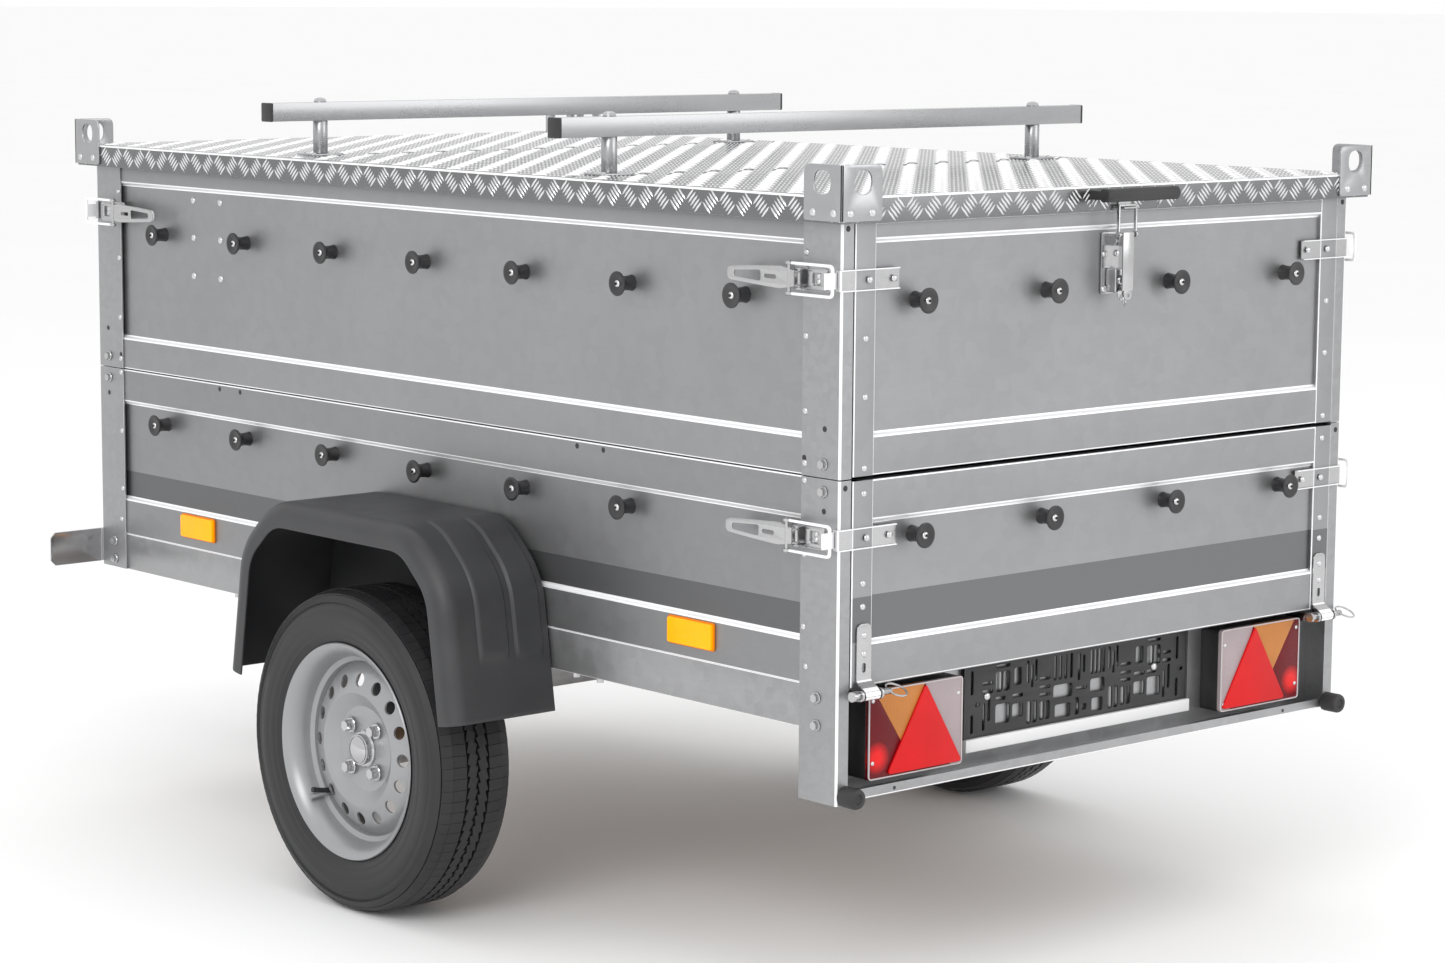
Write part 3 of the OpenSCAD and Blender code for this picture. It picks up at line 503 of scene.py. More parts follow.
def ringIn(bm, centre, axis, radius, wire, segments=40, sides=10):
    turn = Vector((0, 0, 1)).rotation_difference(Vector(axis)).to_matrix()
    rings = []
    for k in range(segments):
        a = 2 * math.pi * k / segments
        loop = [(radius + x, z) for x, z in circleLoop(0, 0, wire, sides)]
        rings.append([bm.verts.new(centre + turn @ Vector((math.cos(a) * x, math.sin(a) * x, z)) * mm)
                      for x, z in loop])
    for a, b in zip(rings, rings[1:] + rings[:1]):
        for j in range(sides):
            n = (j + 1) % sides
            bm.faces.new((a[j], b[j], b[n], a[n]))


def facing(origin, across, up):  # matrix that lays a flat drawing in the given plane
    a, u = Vector(across).normalized(), Vector(up).normalized()
    n = a.cross(u)
    return Matrix(((a[0], u[0], n[0], origin[0]), (a[1], u[1], n[1], origin[1]),
                   (a[2], u[2], n[2], origin[2]), (0, 0, 0, 1)))


def plate(name, outline, holes, thickness, edge, matrix, look):
    # a flat sheet with holes and rounded rims; outline and holes are (x, y) lists in mm
    curve = bpy.data.curves.new(name, "CURVE")
    curve.dimensions = "2D"
    curve.fill_mode = "BOTH"
    curve.extrude = (thickness / 2 - edge) * mm
    curve.bevel_depth = edge * mm
    curve.bevel_resolution = 2
    curve.offset = -edge * mm
    for loop in [outline] + list(holes):
        spline = curve.splines.new("POLY")
        spline.points.add(len(loop) - 1)
        for point, (x, y) in zip(spline.points, loop):
            point.co = (x * mm, y * mm, 0, 1)
        spline.use_cyclic_u = True
    holder = newObject(name, curve)
    graph = bpy.context.evaluated_depsgraph_get()
    mesh = bpy.data.meshes.new_from_object(holder.evaluated_get(graph), depsgraph=graph)
    bpy.data.objects.remove(holder)
    mesh.transform(matrix)
    bm = bmesh.new()
    bm.from_mesh(mesh)
    bpy.data.meshes.remove(mesh)
    return toObject(name, bm, [look])


def flipped(loop, sign, lift=0.0):
    return [(sign * a, b + lift) for a, b in loop]


def sidePlate(name, loop, holes, x, thickness, edge, look, end=1, z=0.0):  # drawn in y and z, at one x
    matrix = facing((x * mm, midY, 0), (0, 1, 0), (0, 0, 1))
    holes = [flipped(hole, end, z) for hole in holes]
    return plate(name, flipped(loop, end, z), holes, thickness, edge, matrix, look)


def endPlate(name, loop, holes, y0, y1, edge, look, side=1):  # drawn in x and z, from one y to the other
    matrix = facing((0, midY + (y0 + y1) / 2 * mm, 0), (1, 0, 0), (0, 0, 1))
    return plate(name, flipped(loop, side), [flipped(hole, side) for hole in holes], abs(y1 - y0), edge,
                 matrix, look)


def geometryTree(name, inputs):
    shape = [("Geometry", "Geometry")]
    return nodeTree(name, "GeometryNodeTree", shape + inputs + [("Finish", "Material")], shape)


def closeTree(tree, given, out, geometry):
    real = addNode(tree, "GeometryNodeRealizeInstances", {0: geometry})
    done = addNode(tree, "GeometryNodeSetMaterial",
                   {"Geometry": real.outputs[0], "Material": given["Finish"]})
    tree.links.new(done.outputs[0], out["Geometry"])
    return tree


def joinGeometry(tree, sockets):
    made = tree.nodes.new("GeometryNodeJoinGeometry")
    for socket in sockets:
        tree.links.new(socket, made.inputs[0])
    return made.outputs[0]


def moved(tree, geometry, **change):  # Translation, Scale or Rotation
    return addNode(tree, "GeometryNodeTransform", {"Geometry": geometry, **change}).outputs[0]


def vectorOf(tree, x=0.0, y=0.0, z=0.0):
    return addNode(tree, "ShaderNodeCombineXYZ", {0: x, 1: y, 2: z}).outputs[0]


def onPoints(tree, given, geometry):  # copies stand on the points, along each point's own direction
    direction = addNode(tree, "GeometryNodeInputNamedAttribute", {"Name": "outward"},
                        data_type="FLOAT_VECTOR").outputs[0]
    turned = addNode(tree, "FunctionNodeAlignRotationToVector", {"Vector": direction}, axis="Z").outputs[0]
    return addNode(tree, "GeometryNodeInstanceOnPoints", {"Points": given["Geometry"], "Instance": geometry,
                                                         "Rotation": turned}).outputs[0]


def cone(tree, sides, top, bottom, depth, fill="NGON"):
    return addNode(tree, "GeometryNodeMeshCone",
                   {"Vertices": sides, "Radius Top": top, "Radius Bottom": bottom,
                                                  "Depth": depth}, fill_type=fill).outputs[0]


def grow(tree, name, spots, values):
    mesh = bpy.data.meshes.new(name)
    mesh.from_pydata([tuple(point) for point, _ in spots], [], [])
    layer = mesh.attributes.new("outward", "FLOAT_VECTOR", "POINT")
    for item, (_, direction) in zip(layer.data, spots):
        item.vector = Vector(direction).normalized()
    piece = newObject(name, mesh)
    modifier = piece.modifiers.new("pattern", "NODES")
    modifier.node_group = tree
    for item in tree.interface.items_tree:
        if item.in_out == "INPUT" and item.name in values:
            modifier[item.identifier] = values[item.name]
    return bakeModifiers(piece, 38.0)


def rivetTree():
    tree, given, out = geometryTree("domedHeads", [
        ("Head Radius", "Float", 0.005), ("Head Height", "Float", 0.0025), ("Sides", "Int", 14)])
    ball = addNode(tree, "GeometryNodeMeshUVSphere", {"Segments": given["Sides"], "Rings": 8, "Radius": 1.0})
    size = vectorOf(tree, given["Head Radius"], given["Head Radius"], given["Head Height"])
    return closeTree(tree, given, out, onPoints(tree, given, moved(tree, ball.outputs[0], Scale=size)))


def hexTree():
    tree, given, out = geometryTree("flangedHexHeads", [
        ("Across", "Float", 0.0075), ("Head Height", "Float", 0.006), ("Flange", "Float", 0.0095)])
    head = cone(tree, 6, times(tree, given["Across"], 0.93), given["Across"], given["Head Height"])
    washer = cone(tree, 20, times(tree, given["Flange"], 0.9), given["Flange"], 0.0014)
    return closeTree(tree, given, out, onPoints(tree, given, joinGeometry(tree, [head, washer])))


def knobTree():
    tree, given, out = geometryTree("flaredKnobs", [
        ("Neck Radius", "Float", 0.012), ("Rim Radius", "Float", 0.0195), ("Height", "Float", 0.031),
        ("Sides", "Int", 28)])
    sides = given["Sides"]
    parts = []

    def lifted(geometry, share):
        parts.append(moved(tree, geometry, Translation=vectorOf(tree, z=times(tree, given["Height"], share))))

    # a stretch of wall between two rings, each with its height, radius and the size it follows
    def band(low, high):
        radii = [times(tree, given[ring[2]], ring[1]) for ring in (high, low)]
        lifted(cone(tree, sides, *radii, times(tree, given["Height"], high[0] - low[0]), "NONE"), low[0])
    neck, rim = "Neck Radius", "Rim Radius"
    wall = [(0.0, 1.08, neck), (0.09, 1.0, neck), (0.45, 0.94, neck), (0.62, 1.0, neck), (0.80, 0.8, rim),
            (0.92, 1.0, rim), (0.97, 1.0, rim), (1.0, 0.93, rim)]
    for low, high in zip(wall, wall[1:]):
        band(low, high)
    dish = [(1.0, 0.93, 0.999), (0.999, 0.78, 0.93)]
    for (z0, r0, z1), r1 in zip(dish, (0.78, 0.36)):
        band((z0, r0, rim), (z1, r1, rim))
    for z, r, size in ((0.0, 1.08, neck), (0.93, 0.37, rim)):
        disc = addNode(tree, "GeometryNodeMeshCircle",
                       {"Vertices": sides, "Radius": times(tree, given[size], r)}, fill_type="NGON")
        lifted(disc.outputs[0], z)
    welded = addNode(tree, "GeometryNodeMergeByDistance",
                     {"Geometry": joinGeometry(tree, parts), "Distance": 0.0004})
    return closeTree(tree, given, out, onPoints(tree, given, welded.outputs[0]))


rivets = rivetTree()
hexHeads = hexTree()
knobs = knobTree()


def fasteners(tree, name, node, spots, look, sizes, stands=False):
    values = {label: size * mm for label, size in sizes.items()}
    piece = grow(tree, name, [(at(*place), direction) for place, direction in spots],
                 {"Finish": look, **values})
    return settle(piece, node, stands)


def rivetRow(name, node, spots, radius, height, look=rivetSteel):
    return fasteners(rivets, name, node, spots, look, {"Head Radius": radius, "Head Height": height})


def boltRow(name, node, spots, look, across, height, flange, stands=False):
    sizes = {"Across": across, "Head Height": height, "Flange": flange}
    return fasteners(hexHeads, name, node, spots, look, sizes, stands)


def spotsFacing(direction, places):
    return [(place, direction) for place in places]


def mirrored(spots):  # the same spots on both sides
    return [((s * p[0], p[1], p[2]), (s * d[0], d[1], d[2])) for p, d in spots for s in bothSides]


right, rearward, downward = (1, 0, 0), (0, -1, 0), (0, 0, -1)

boardPlan = {"half": 577.0, "halfLength": 1022.0, "bead": 6.0, "sheet": 1.5, "fold": 22.0, "corner": 2.2,
             "lower": (503.0, 570.0, 757.0, 817.0), "upper": (819.0, 876.0, 1168.0, 1197.5)}
strutPlan = {"plate": [(566.5, 604, 993), (569.5, 724, 1163)], "pin": (522, 664, 1040)}


def boardPath(out, z0, f0, f1, z1):
    bead, back = boardPlan["bead"], out - boardPlan["fold"]
    return [(back, z0), (out, z0), (out, f0), (out - bead, f0 + 4), (out - bead, f1 - 4), (out, f1),
            (out, z1), (back, z1)]


def beadHighlightMarks(out, zs):  # the middle of each slope of the bead, where the painted highlight goes
    slope = out - boardPlan["bead"] / 2
    return [(slope, zs[1] + 2), (slope, zs[2] - 2)]


def boardIn(bm, axis, out, zs, reach, side, stations):
    sheetAlong(bm, axis, boardPath(out, *zs), boardPlan["sheet"], (-reach, reach), boardPlan["corner"],
               (side, 1, 1), beadHighlightMarks(out, zs), stations)


def buildSideBoards(node, zs, look):
    bm = bmesh.new()
    for side in bothSides:
        boardIn(bm, "y", boardPlan["half"], zs, boardPlan["halfLength"], side, 6)
    if node == "upper_side_panels":  # the plate and pin that hold each gas strut
        for side in bothSides:
            boxIn(bm, *[(side * x, y, z) for x, y, z in strutPlan["plate"]])
            x, y, z = strutPlan["pin"]
            latheIn(bm, [(-6, 0), (-6, 4.6), (-5, 5), (42, 5), (43, 0)], at(side * x, y, z), (side, 0, 0), 20)
    return settle(toObject(node + "_finish", bm, [look, foldHighlightAndBrightZinc]), node)


buildSideBoards("lower_side_panels", boardPlan["lower"], bandedZinc)
buildSideBoards("upper_side_panels", boardPlan["upper"], boardZinc)
lugPlan = {"x": (343, 412), "pin": (1056, 1195), "hole": 4.3, "sheet": 5.0}


def buildFrontBoards():
    bm = bmesh.new()
    for zs in (boardPlan["lower"], boardPlan["upper"]):
        boardIn(bm, "x", boardPlan["halfLength"], zs, boardPlan["half"] - 24, 1, 4)
    parts = [toObject("frontBoards", bm, [boardZinc, foldHighlightAndBrightZinc])]
    outline = arcLoop([(1022, 1148), (1022, 1196.5), (1052, 1196.5), (1062, 1200), (1063, 1190)],
                      [0, 2, 2, 5, 6])
    hole = circleLoop(*lugPlan["pin"], lugPlan["hole"], 24)
    for side in bothSides:
        for x in lugPlan["x"]:  # lugs of the lid hinges
            parts.append(sidePlate("lug", outline, [hole], side * (x + 2.5), lugPlan["sheet"], 0.5,
                                   boardZinc))
    return finishParts(parts, "front_panels")


buildFrontBoards()
postPlan = {"hx": 580.0, "hy": 1025.0, "side": 83.0, "rear": 24.0, "sheet": 3.0, "foot": 327.0, "rail": 436.0,
            "split": 818.0, "top": 1197.5, "stop": [(558, -1022, 826), (562, -1001, 850)]}


def buildPosts():
    p = postPlan
    bm = bmesh.new()
    section = [(p["hx"] - p["rear"], p["hy"]), (p["hx"], p["hy"]), (p["hx"], p["hy"] - p["side"])]
    for side in bothSides:
        for end in bothSides:
            low = p["rail"] if end > 0 else p["foot"]
            for span in ((low, p["split"] - 1), (p["split"] + 1, p["top"])):
                sheetAlong(bm, "z", section, -p["sheet"], span, 3.2, (side, end, 1))
        boxIn(bm, *[(side * x, y, z) for x, y, z in p["stop"]])  # stop plate behind the rear post
    piece = toObject("corner_posts_finish", bm, [postZinc, foldHighlightAndBrightZinc])
    # the bevelled edges of the posts take the painted highlight
    return settle(bevelled(piece, 0.5, 1, 1), "corner_posts")


buildPosts()
holePlan = {"face": 580.2, "side": [(-992, 892), (-992, 769), (-948, 845)], "rearFace": -1025.2,
            "rear": [(568, 1189), (568, 806)], "boardFace": 577.2, "board": (-409, -475, 620, 554),
            "boardZ": 808}


def buildHoleShade():  # dark discs of painted shade in the mouths of the unused holes in the posts and boards
    h = holePlan
    spots = spotsFacing(right, [(h["face"], y * end, z) for y, z in h["side"] for end in bothSides])
    spots += spotsFacing(rearward, [(x, h["rearFace"], z) for x, z in h["rear"]])
    spots += spotsFacing(right, [(h["boardFace"], y, h["boardZ"]) for y in h["board"]])
    rivetRow("post_holes", "corner_posts", mirrored(spots), 4.5, 0.4, lampPlastic)


buildHoleShade()
print("box built")

# the third column, when given, is painted highlight on the bevelled edges
for node, look, edge, width in (
        ("frame_rails", frameZinc, foldHighlightAndBrightZinc, 0.9), ("floor_board", deckPly, None, 0.6),
        ("drawbar", frameZinc, foldHighlightAndBrightZinc, 1.2), ("drawbar_clamps", platedSteel, None, 0.6),
        ("coupling_housing", platedSteel, None, 1.2), ("coupling_lever", platedSteel, None, 1.0),
        ("axle_beam", frameZinc, foldHighlightAndBrightZinc, 0.9), ("stand_leg", platedSteel, None, 0.8),
        ("swing_arm_left", darkCast, None, 1.2), ("swing_arm_right", darkCast, None, 1.2),
        ("strut_cylinders", gripRubber, None, 0.6), ("strut_rods", capChrome, None, 0.5),
        ("lid_frame", tubeAlloy, None, 0.8), ("marker_brackets", platedSteel, foldHighlightAndBrightZinc, 0.6)):
    refine(node, look, edge, width)

beamPlan = {"web": -966.0, "foot": 330.0, "top": 500.0, "rear": -1021.5, "half": 577.0, "lip": 16.0}
hingePlan = {"x": 530, "y": -1043, "z": 495, "lugs": (508, 548)}


def buildLightBeam():
    b, h = beamPlan, hingePlan
    bm = bmesh.new()
    path = [(b["rear"], b["foot"] + b["lip"]), (b["rear"], b["foot"]), (b["web"], b["foot"]),
            (b["web"], b["top"]), (b["rear"] + 21.5, b["top"])]
    sheetAlong(bm, "x", path, 2.5, (-b["half"], b["half"]), 2.5, stations=6)
    parts = [toObject("beam", bm, [frameZinc, foldHighlightAndBrightZinc])]
    outline = arcLoop([(b["web"], b["top"]), (b["web"], 470), (-1005, 484), (-1052, 486), (-1052, 504),
                       (-1029, 500)],
                      [0, 0, 4, 9, 9, 2])
    for side in bothSides:
        for x in h["lugs"]:
            parts.append(sidePlate("beamLug", outline, [circleLoop(h["y"], h["z"], 5.3, 20)], side * (x + 2),
                                   4.0, 0.5, platedSteel))
    return finishParts(parts, "light_beam")


buildLightBeam()
# dark discs of painted shade in the two holes of the beam
rivetRow("beam_hole_shade", "light_beam", mirrored([((455, -1021.7, 338), rearward)]), 3.0, 0.3, lampPlastic)
boltPlan = {"posts": [(y, z) for y in (990, -990) for z in (798, 839)] +
                     [(-980, 444), (-980, 486), (980, 452), (980, 486)],
            "rails": (617, 558, -369, -430)}
boltRow("frame_bolts_finish", "frame_bolts",
        mirrored(spotsFacing(right, [(581, y, z) for y, z in boltPlan["posts"]])), platedSteel, 7.5, 6.0, 9.2,
        True)
boltRow("rail_bolts", "frame_rails",
        mirrored(spotsFacing(downward, [(545, y, 435.5) for y in boltPlan["rails"]])), platedSteel, 6.5, 14.0,
        9.0)
rivetPlan = {"posts": [(949, z) for z in (1151, 1027, 915, 837, 811, 700, 590)] + [(955, 530)],
             "boards": [(y, z) for y in (708, 620) for z in (1146, 1078, 1008)]}
postRivets = [(580, end * y, z) for end in bothSides for y, z in rivetPlan["posts"]]
rivetRow("post_rivets", "corner_posts", mirrored(spotsFacing(right, postRivets)), 5.2, 2.6)
boardRivets = [(571, y, z) for y, z in rivetPlan["boards"]]
rivetRow("board_rivets", "upper_side_panels", mirrored(spotsFacing(right, boardRivets)), 6.8, 3.8)
print("frame built")

tyrePlan = {"x": 700.0, "y": -36.0, "z": 272.0, "radius": 272.0, "pitches": 90, "rubber": 6.5}
tyreWall = [(59, 170.5), (66, 180), (69.8, 187), (71.8, 192), (74, 196), (73.6, 199), (75.2, 203),
            (76.9, 212), (76.4, 214), (76.9, 216), (77.5, 226), (77.0, 236), (75.6, 238), (75.8, 240),
            (73.5, 248), (69, 255.5), (62, 260.5), (52, 264), (40, 265.5)]
tyreLining = [(44, 173), (54, 191), (67.5, 223), (51.5, 257.5)]
treadRows = [  # offset, width, length, slant, tilt, drop
    (10.5, 16.6, 18.3, 0.3, 0, 0), (36, 26, 18.2, 0.06, 0.02, 0.2), (57, 21, 18.2, 0.02, 0.3, 3.8),
    (69.5, 13, 18.2, 0, 0.95, 14.0)]


def treadBlockTree():
    tree, given, out = geometryTree("treadBlocks", [
        ("Width", "Float", 0.014), ("Length", "Float", 0.018), ("Depth", "Float", 0.0066),
        ("Offset", "Float", 0.0), ("Slant", "Float", 0.0), ("Tilt", "Float", 0.0), ("Drop", "Float", 0.0)])
    size = vectorOf(tree, given["Width"], given["Length"], given["Depth"])
    block = addNode(tree, "GeometryNodeMeshCube", {"Size": size}).outputs[0]
    turned = moved(tree, block, Rotation=vectorOf(tree, 0.0, given["Tilt"], given["Slant"]))
    below = calc(tree, "MULTIPLY_ADD", given["Depth"], -0.5, times(tree, given["Drop"], -1.0))
    placed = moved(tree, turned, Translation=vectorOf(tree, given["Offset"], 0.0, below))
    return closeTree(tree, given, out, onPoints(tree, given, placed))


treadBlocks = treadBlockTree()


def buildTyre(side, name):
    plan = tyrePlan
    centre = at(side * plan["x"], plan["y"], plan["z"])
    bm = bmesh.new()
    profile = flipped(tyreWall, -1) + [(0, 265.5)] + tyreWall[::-1] + tyreLining + flipped(tyreLining[::-1],
                                                                                           -1)
    latheIn(bm, profile, centre, right, 120, True)
    parts = [toObject("carcass", bm, [tyreRubber], 28.0)]
    step = 2 * math.pi / plan["pitches"]
    for offset, width, length, slant, tilt, drop in treadRows:
        for half, shift in ((1, 0.25), (-1, 0.75)):
            turns = [(k + shift) * step for k in range(plan["pitches"])]
            outward = [Vector((0, math.sin(turn), math.cos(turn))) for turn in turns]
            parts.append(grow(treadBlocks, "row", [(centre + d * plan["radius"] * mm, d) for d in outward], {
                "Finish": tyreRubber, "Width": width * mm, "Length": length * mm,
                "Depth": plan["rubber"] * mm, "Offset": half * offset * mm, "Slant": half * slant,
                "Tilt": half * tilt, "Drop": drop * mm}))
    finishParts(parts, name)


buildTyre(-1, "tyre_left")
buildTyre(1, "tyre_right")
hubPlan = {"valveTurn": math.radians(50), "valveOut": 24.0, "valveRadius": 143.5, "capOut": 30.5,
           "boltOut": 734, "boltCircle": 50}


def buildHubTrim(side, suffix):
    h, plan = hubPlan, tyrePlan
    hub = at(side * plan["x"], plan["y"], plan["z"])
    refine("rim_" + suffix, rimPaint, None, 1.2, 3)
    seat = Vector((side * h["valveOut"], h["valveRadius"] * math.sin(h["valveTurn"]),
                   -h["valveRadius"] * math.cos(h["valveTurn"]))) * mm
    stem = [(0, 0), (0, 5.2), (8, 5.4), (12, 4.2), (30, 4.0), (31, 4.8), (37, 4.6), (38, 0)]
    settle(turnedPart("valve_" + suffix, stem, hub + seat, (side, 0, 0.2), gripRubber, 20), "rim_" + suffix,
           False)
    refine("hub_" + suffix, platedSteel)
    dome = [(0, 0), (0, 31), (3, 31.5), (5, 29), (5.5, 25.5), (8, 25), (15, 23), (19, 18), (21, 10),
            (21.5, 0)]
    cap = turnedPart("hubCap_" + suffix, dome, hub + Vector((side * h["capOut"] * mm, 0, 0)), (side, 0, 0),
                     capChrome, 48, 25.0)
    settle(cap, "hub_" + suffix, False)
    turns = [math.pi * (0.25 + 0.5 * k) for k in range(4)]
    places = [(side * h["boltOut"], plan["y"] + h["boltCircle"] * math.cos(turn),
               plan["z"] + h["boltCircle"] * math.sin(turn)) for turn in turns]
    boltRow("wheelBolts_" + suffix, "hub_" + suffix, spotsFacing((side, 0, 0), places), capChrome, 9.8, 13.0,
            13.5)


buildHubTrim(-1, "left")
buildHubTrim(1, "right")
print("wheels built")

guardPlan = {"inner": 582.0, "outer": 785.0, "skirt": 40.0, "round": 24.0, "wall": 3.6, "centre": -36.0,
             "corner": 45.0,
             "path": [(321, 368), (287, 590), (195, 672), (-195, 672), (-287, 590), (-321, 368)],
             "ribs": [(598, 649), (668, 723)], "ribStart": 0.655, "ribEnd": 0.905, "ribRise": 4.2,
             "cover": [(321, 368), (287, 590), (195, 671), (-195, 671), (-287, 590), (-321, 368), (-206, 368),
                       (-176, 480), (176, 480), (206, 368)], "coverX": 584.75,
             "bolts": [(-130, 650), (130, 650), (-250, 588), (250, 588)]}


def guardSpine():
    points, _ = filleted(guardPlan["path"], guardPlan["corner"], 8)
    dense = []
    for a, b in zip(points, points[1:]):
        cuts = max(1, int((b - a).length / 7))
        dense += [a + (b - a) * (k / cuts) for k in range(cuts)]
    dense.append(points[-1])
    total = [0.0]
    for a, b in zip(dense, dense[1:]):
        total.append(total[-1] + (b - a).length)
    return dense, [t / total[-1] for t in total]


# distance from the middle of the trailer and drop below the crown, from the inner edge out
def guardSection():
    g = guardPlan
    r, flat = g["round"], g["outer"] - g["inner"] - g["round"]
    crown = [(g["inner"] + flat * k / 69, 0.0) for k in range(70)]
    turns = [math.pi / 2 * k / 8 for k in range(1, 9)]
    shoulder = [(g["outer"] - r + r * math.sin(turn), r - r * math.cos(turn)) for turn in turns]
    return crown + shoulder + [(g["outer"], r + (g["skirt"] - r) * k / 4) for k in range(1, 5)]


def clamped(value):
    return max(0.0, min(1.0, value))


def ribLift(x, share):  # how far the ribs raise the crown here
    g = guardPlan
    tall = clamped(min(share - g["ribStart"], g["ribEnd"] - share) / 0.008 + 0.5)
    wide = max(clamped((min(x - x0, x1 - x) + 1.8) / 3.4) for x0, x1 in g["ribs"])
    return g["ribRise"] * wide * tall


def buildGuards():
    g = guardPlan
    spine, shares = guardSpine()
    section = guardSection()
    bm = bmesh.new()
    for side in bothSides:
        rows = []
        for i, (p, share) in enumerate(zip(spine, shares)):
            along = (spine[min(i + 1, len(spine) - 1)] - spine[max(i - 1, 0)]).normalized()
            normal = Vector((along[1], -along[0]))  # away from the wheel
            points = [(x, p + normal * (ribLift(x, share) - drop)) for x, drop in section]
            rows.append([bm.verts.new(at(side * x, g["centre"] + q[0], q[1])) for x, q in points])
        for a, b in zip(rows, rows[1:]):
            for k in range(len(section) - 1):
                corners = (a[k], a[k + 1], b[k + 1], b[k])
                bm.faces.new(corners if side > 0 else (corners[0], *corners[:0:-1]))
    mesh = bpy.data.meshes.new("guards")
    bm.to_mesh(mesh)
    bm.free()
    mesh.materials.append(guardPlastic)
    piece = newObject("mudguards_finish", mesh)
    wall = piece.modifiers.new("wall", "SOLIDIFY")
    wall.thickness = g["wall"] * mm
    wall.offset = -1.0
    addBevel(piece, "edge", 0.9, 2, 50)
    parts = [bakeModifiers(piece, 42.0)]
    outline = arcLoop([(y + g["centre"], z) for y, z in g["cover"]], [4, 40, 40, 40, 40, 4, 4, 30, 30, 4])
    for side in bothSides:  # flat wall of the guard against the body
        parts.append(sidePlate("guardWall", outline, [], side * g["coverX"], 3.5, 0.8, guardPlastic))
    finishParts(parts, "mudguards")
    places = [(587, g["centre"] + y, z) for y, z in g["bolts"]]
    boltRow("guardBolts", "mudguards", mirrored(spotsFacing(right, places)), platedSteel, 7.5, 6.0, 12.0)


buildGuards()
print("mudguards built")

lampPlan = {"x": 403.0, "z": 422.0, "w": 200.0, "h": 138.0, "front": -1013.0, "back": -1006.2, "base": -968.6}


def buildLamps():
    p = lampPlan
    x, x0, x1 = p["x"], p["x"] - p["w"] / 2, p["x"] + p["w"] / 2
    z0, z1 = p["z"] - p["h"] / 2, p["z"] + p["h"] / 2
    lensDepth = (p["front"], p["back"])
    body = roundRect(x0, z0, x1, z1, 7)
    walls = [("lampWall", [roundRect(x0 + 5, z0 + 5, x1 - 5, z1 - 5, 4)], p["back"], p["base"] - 4),
             ("lampBack", [], p["base"] - 6, p["base"])]
    apex, notch, tip = (x - 19, z1), (x + 26, z0 + 46), (x1 - 12, z1)
    lenses = [  # the big triangle stands proud, with softened corners
        ("triangle", arcLoop([(x - 98, z0 + 5), (x + 62, z0 + 5), (x - 18, z1 - 2)], [9, 9, 7], 6), [],
         (-1017, -1012.4), 1.2, redLens),
        ("clearLens", arcLoop([(x0, z0), (x - 76, z0), apex, (x0, z1)], [6, 0, 0, 6]), [], lensDepth, 0.8,
         whiteLens),
        ("underLens", arcLoop([(x - 76, z0), (x + 42, z0), apex], 0), [], lensDepth, 0.3, redTail),
        ("amberLens", arcLoop([apex, notch, tip], 0), [], lensDepth, 0.3, amberWedge),
        ("tailLens", arcLoop([(x + 42, z0), (x1, z0), (x1, z1), tip, notch], [0, 6, 6, 0, 0]), [], lensDepth,
         0.8, redTail),
        ("lensEdge", body, [roundRect(x0 + 2.4, z0 + 2.4, x1 - 2.4, z1 - 2.4, 4)],
         (p["front"] - 1.2, p["front"] + 2), 0.5, rimLens)]
    screws = [(x0 + 9, z0 + 12), (x0 + 9, z1 - 26), (x1 - 9, z0 + 26), (x1 - 9, z1 - 16)]
    housings = [endPlate(name, body, holes, y0, y1, 0.8, lampPlastic, side) for side in bothSides
                for name, holes, y0, y1 in walls]
    fronts = [endPlate(name, loop, holes, *depth, edge, look, side) for side in bothSides
              for name, loop, holes, depth, edge, look in lenses]
    finishParts(housings, "lamp_housings")
    finishParts(fronts, "lamp_lenses")
    places = [(side * x, -1013.4, z) for side in bothSides for x, z in screws]
    rivetRow("lampScrews", "lamp_lenses", spotsFacing(rearward, places), 3.4, 1.4)


buildLamps()
holderPlan = {"half": 262.0, "z": (373.0, 494.0), "front": -980.0, "back": -968.5, "strip": (357, 377),
              "columns": [(-252, -226, 2), (-220, -196, 3), (-190, -158, 0), (-152, -128, 1), (-120, -96, 4),
                          (-90, -66, 5), (-58, -14, 6), (-8, 20, 7), (28, 62, 6), (70, 94, 4), (100, 124, 5),
                          (132, 158, 1), (164, 196, 0), (202, 222, 3), (228, 252, 2)]}


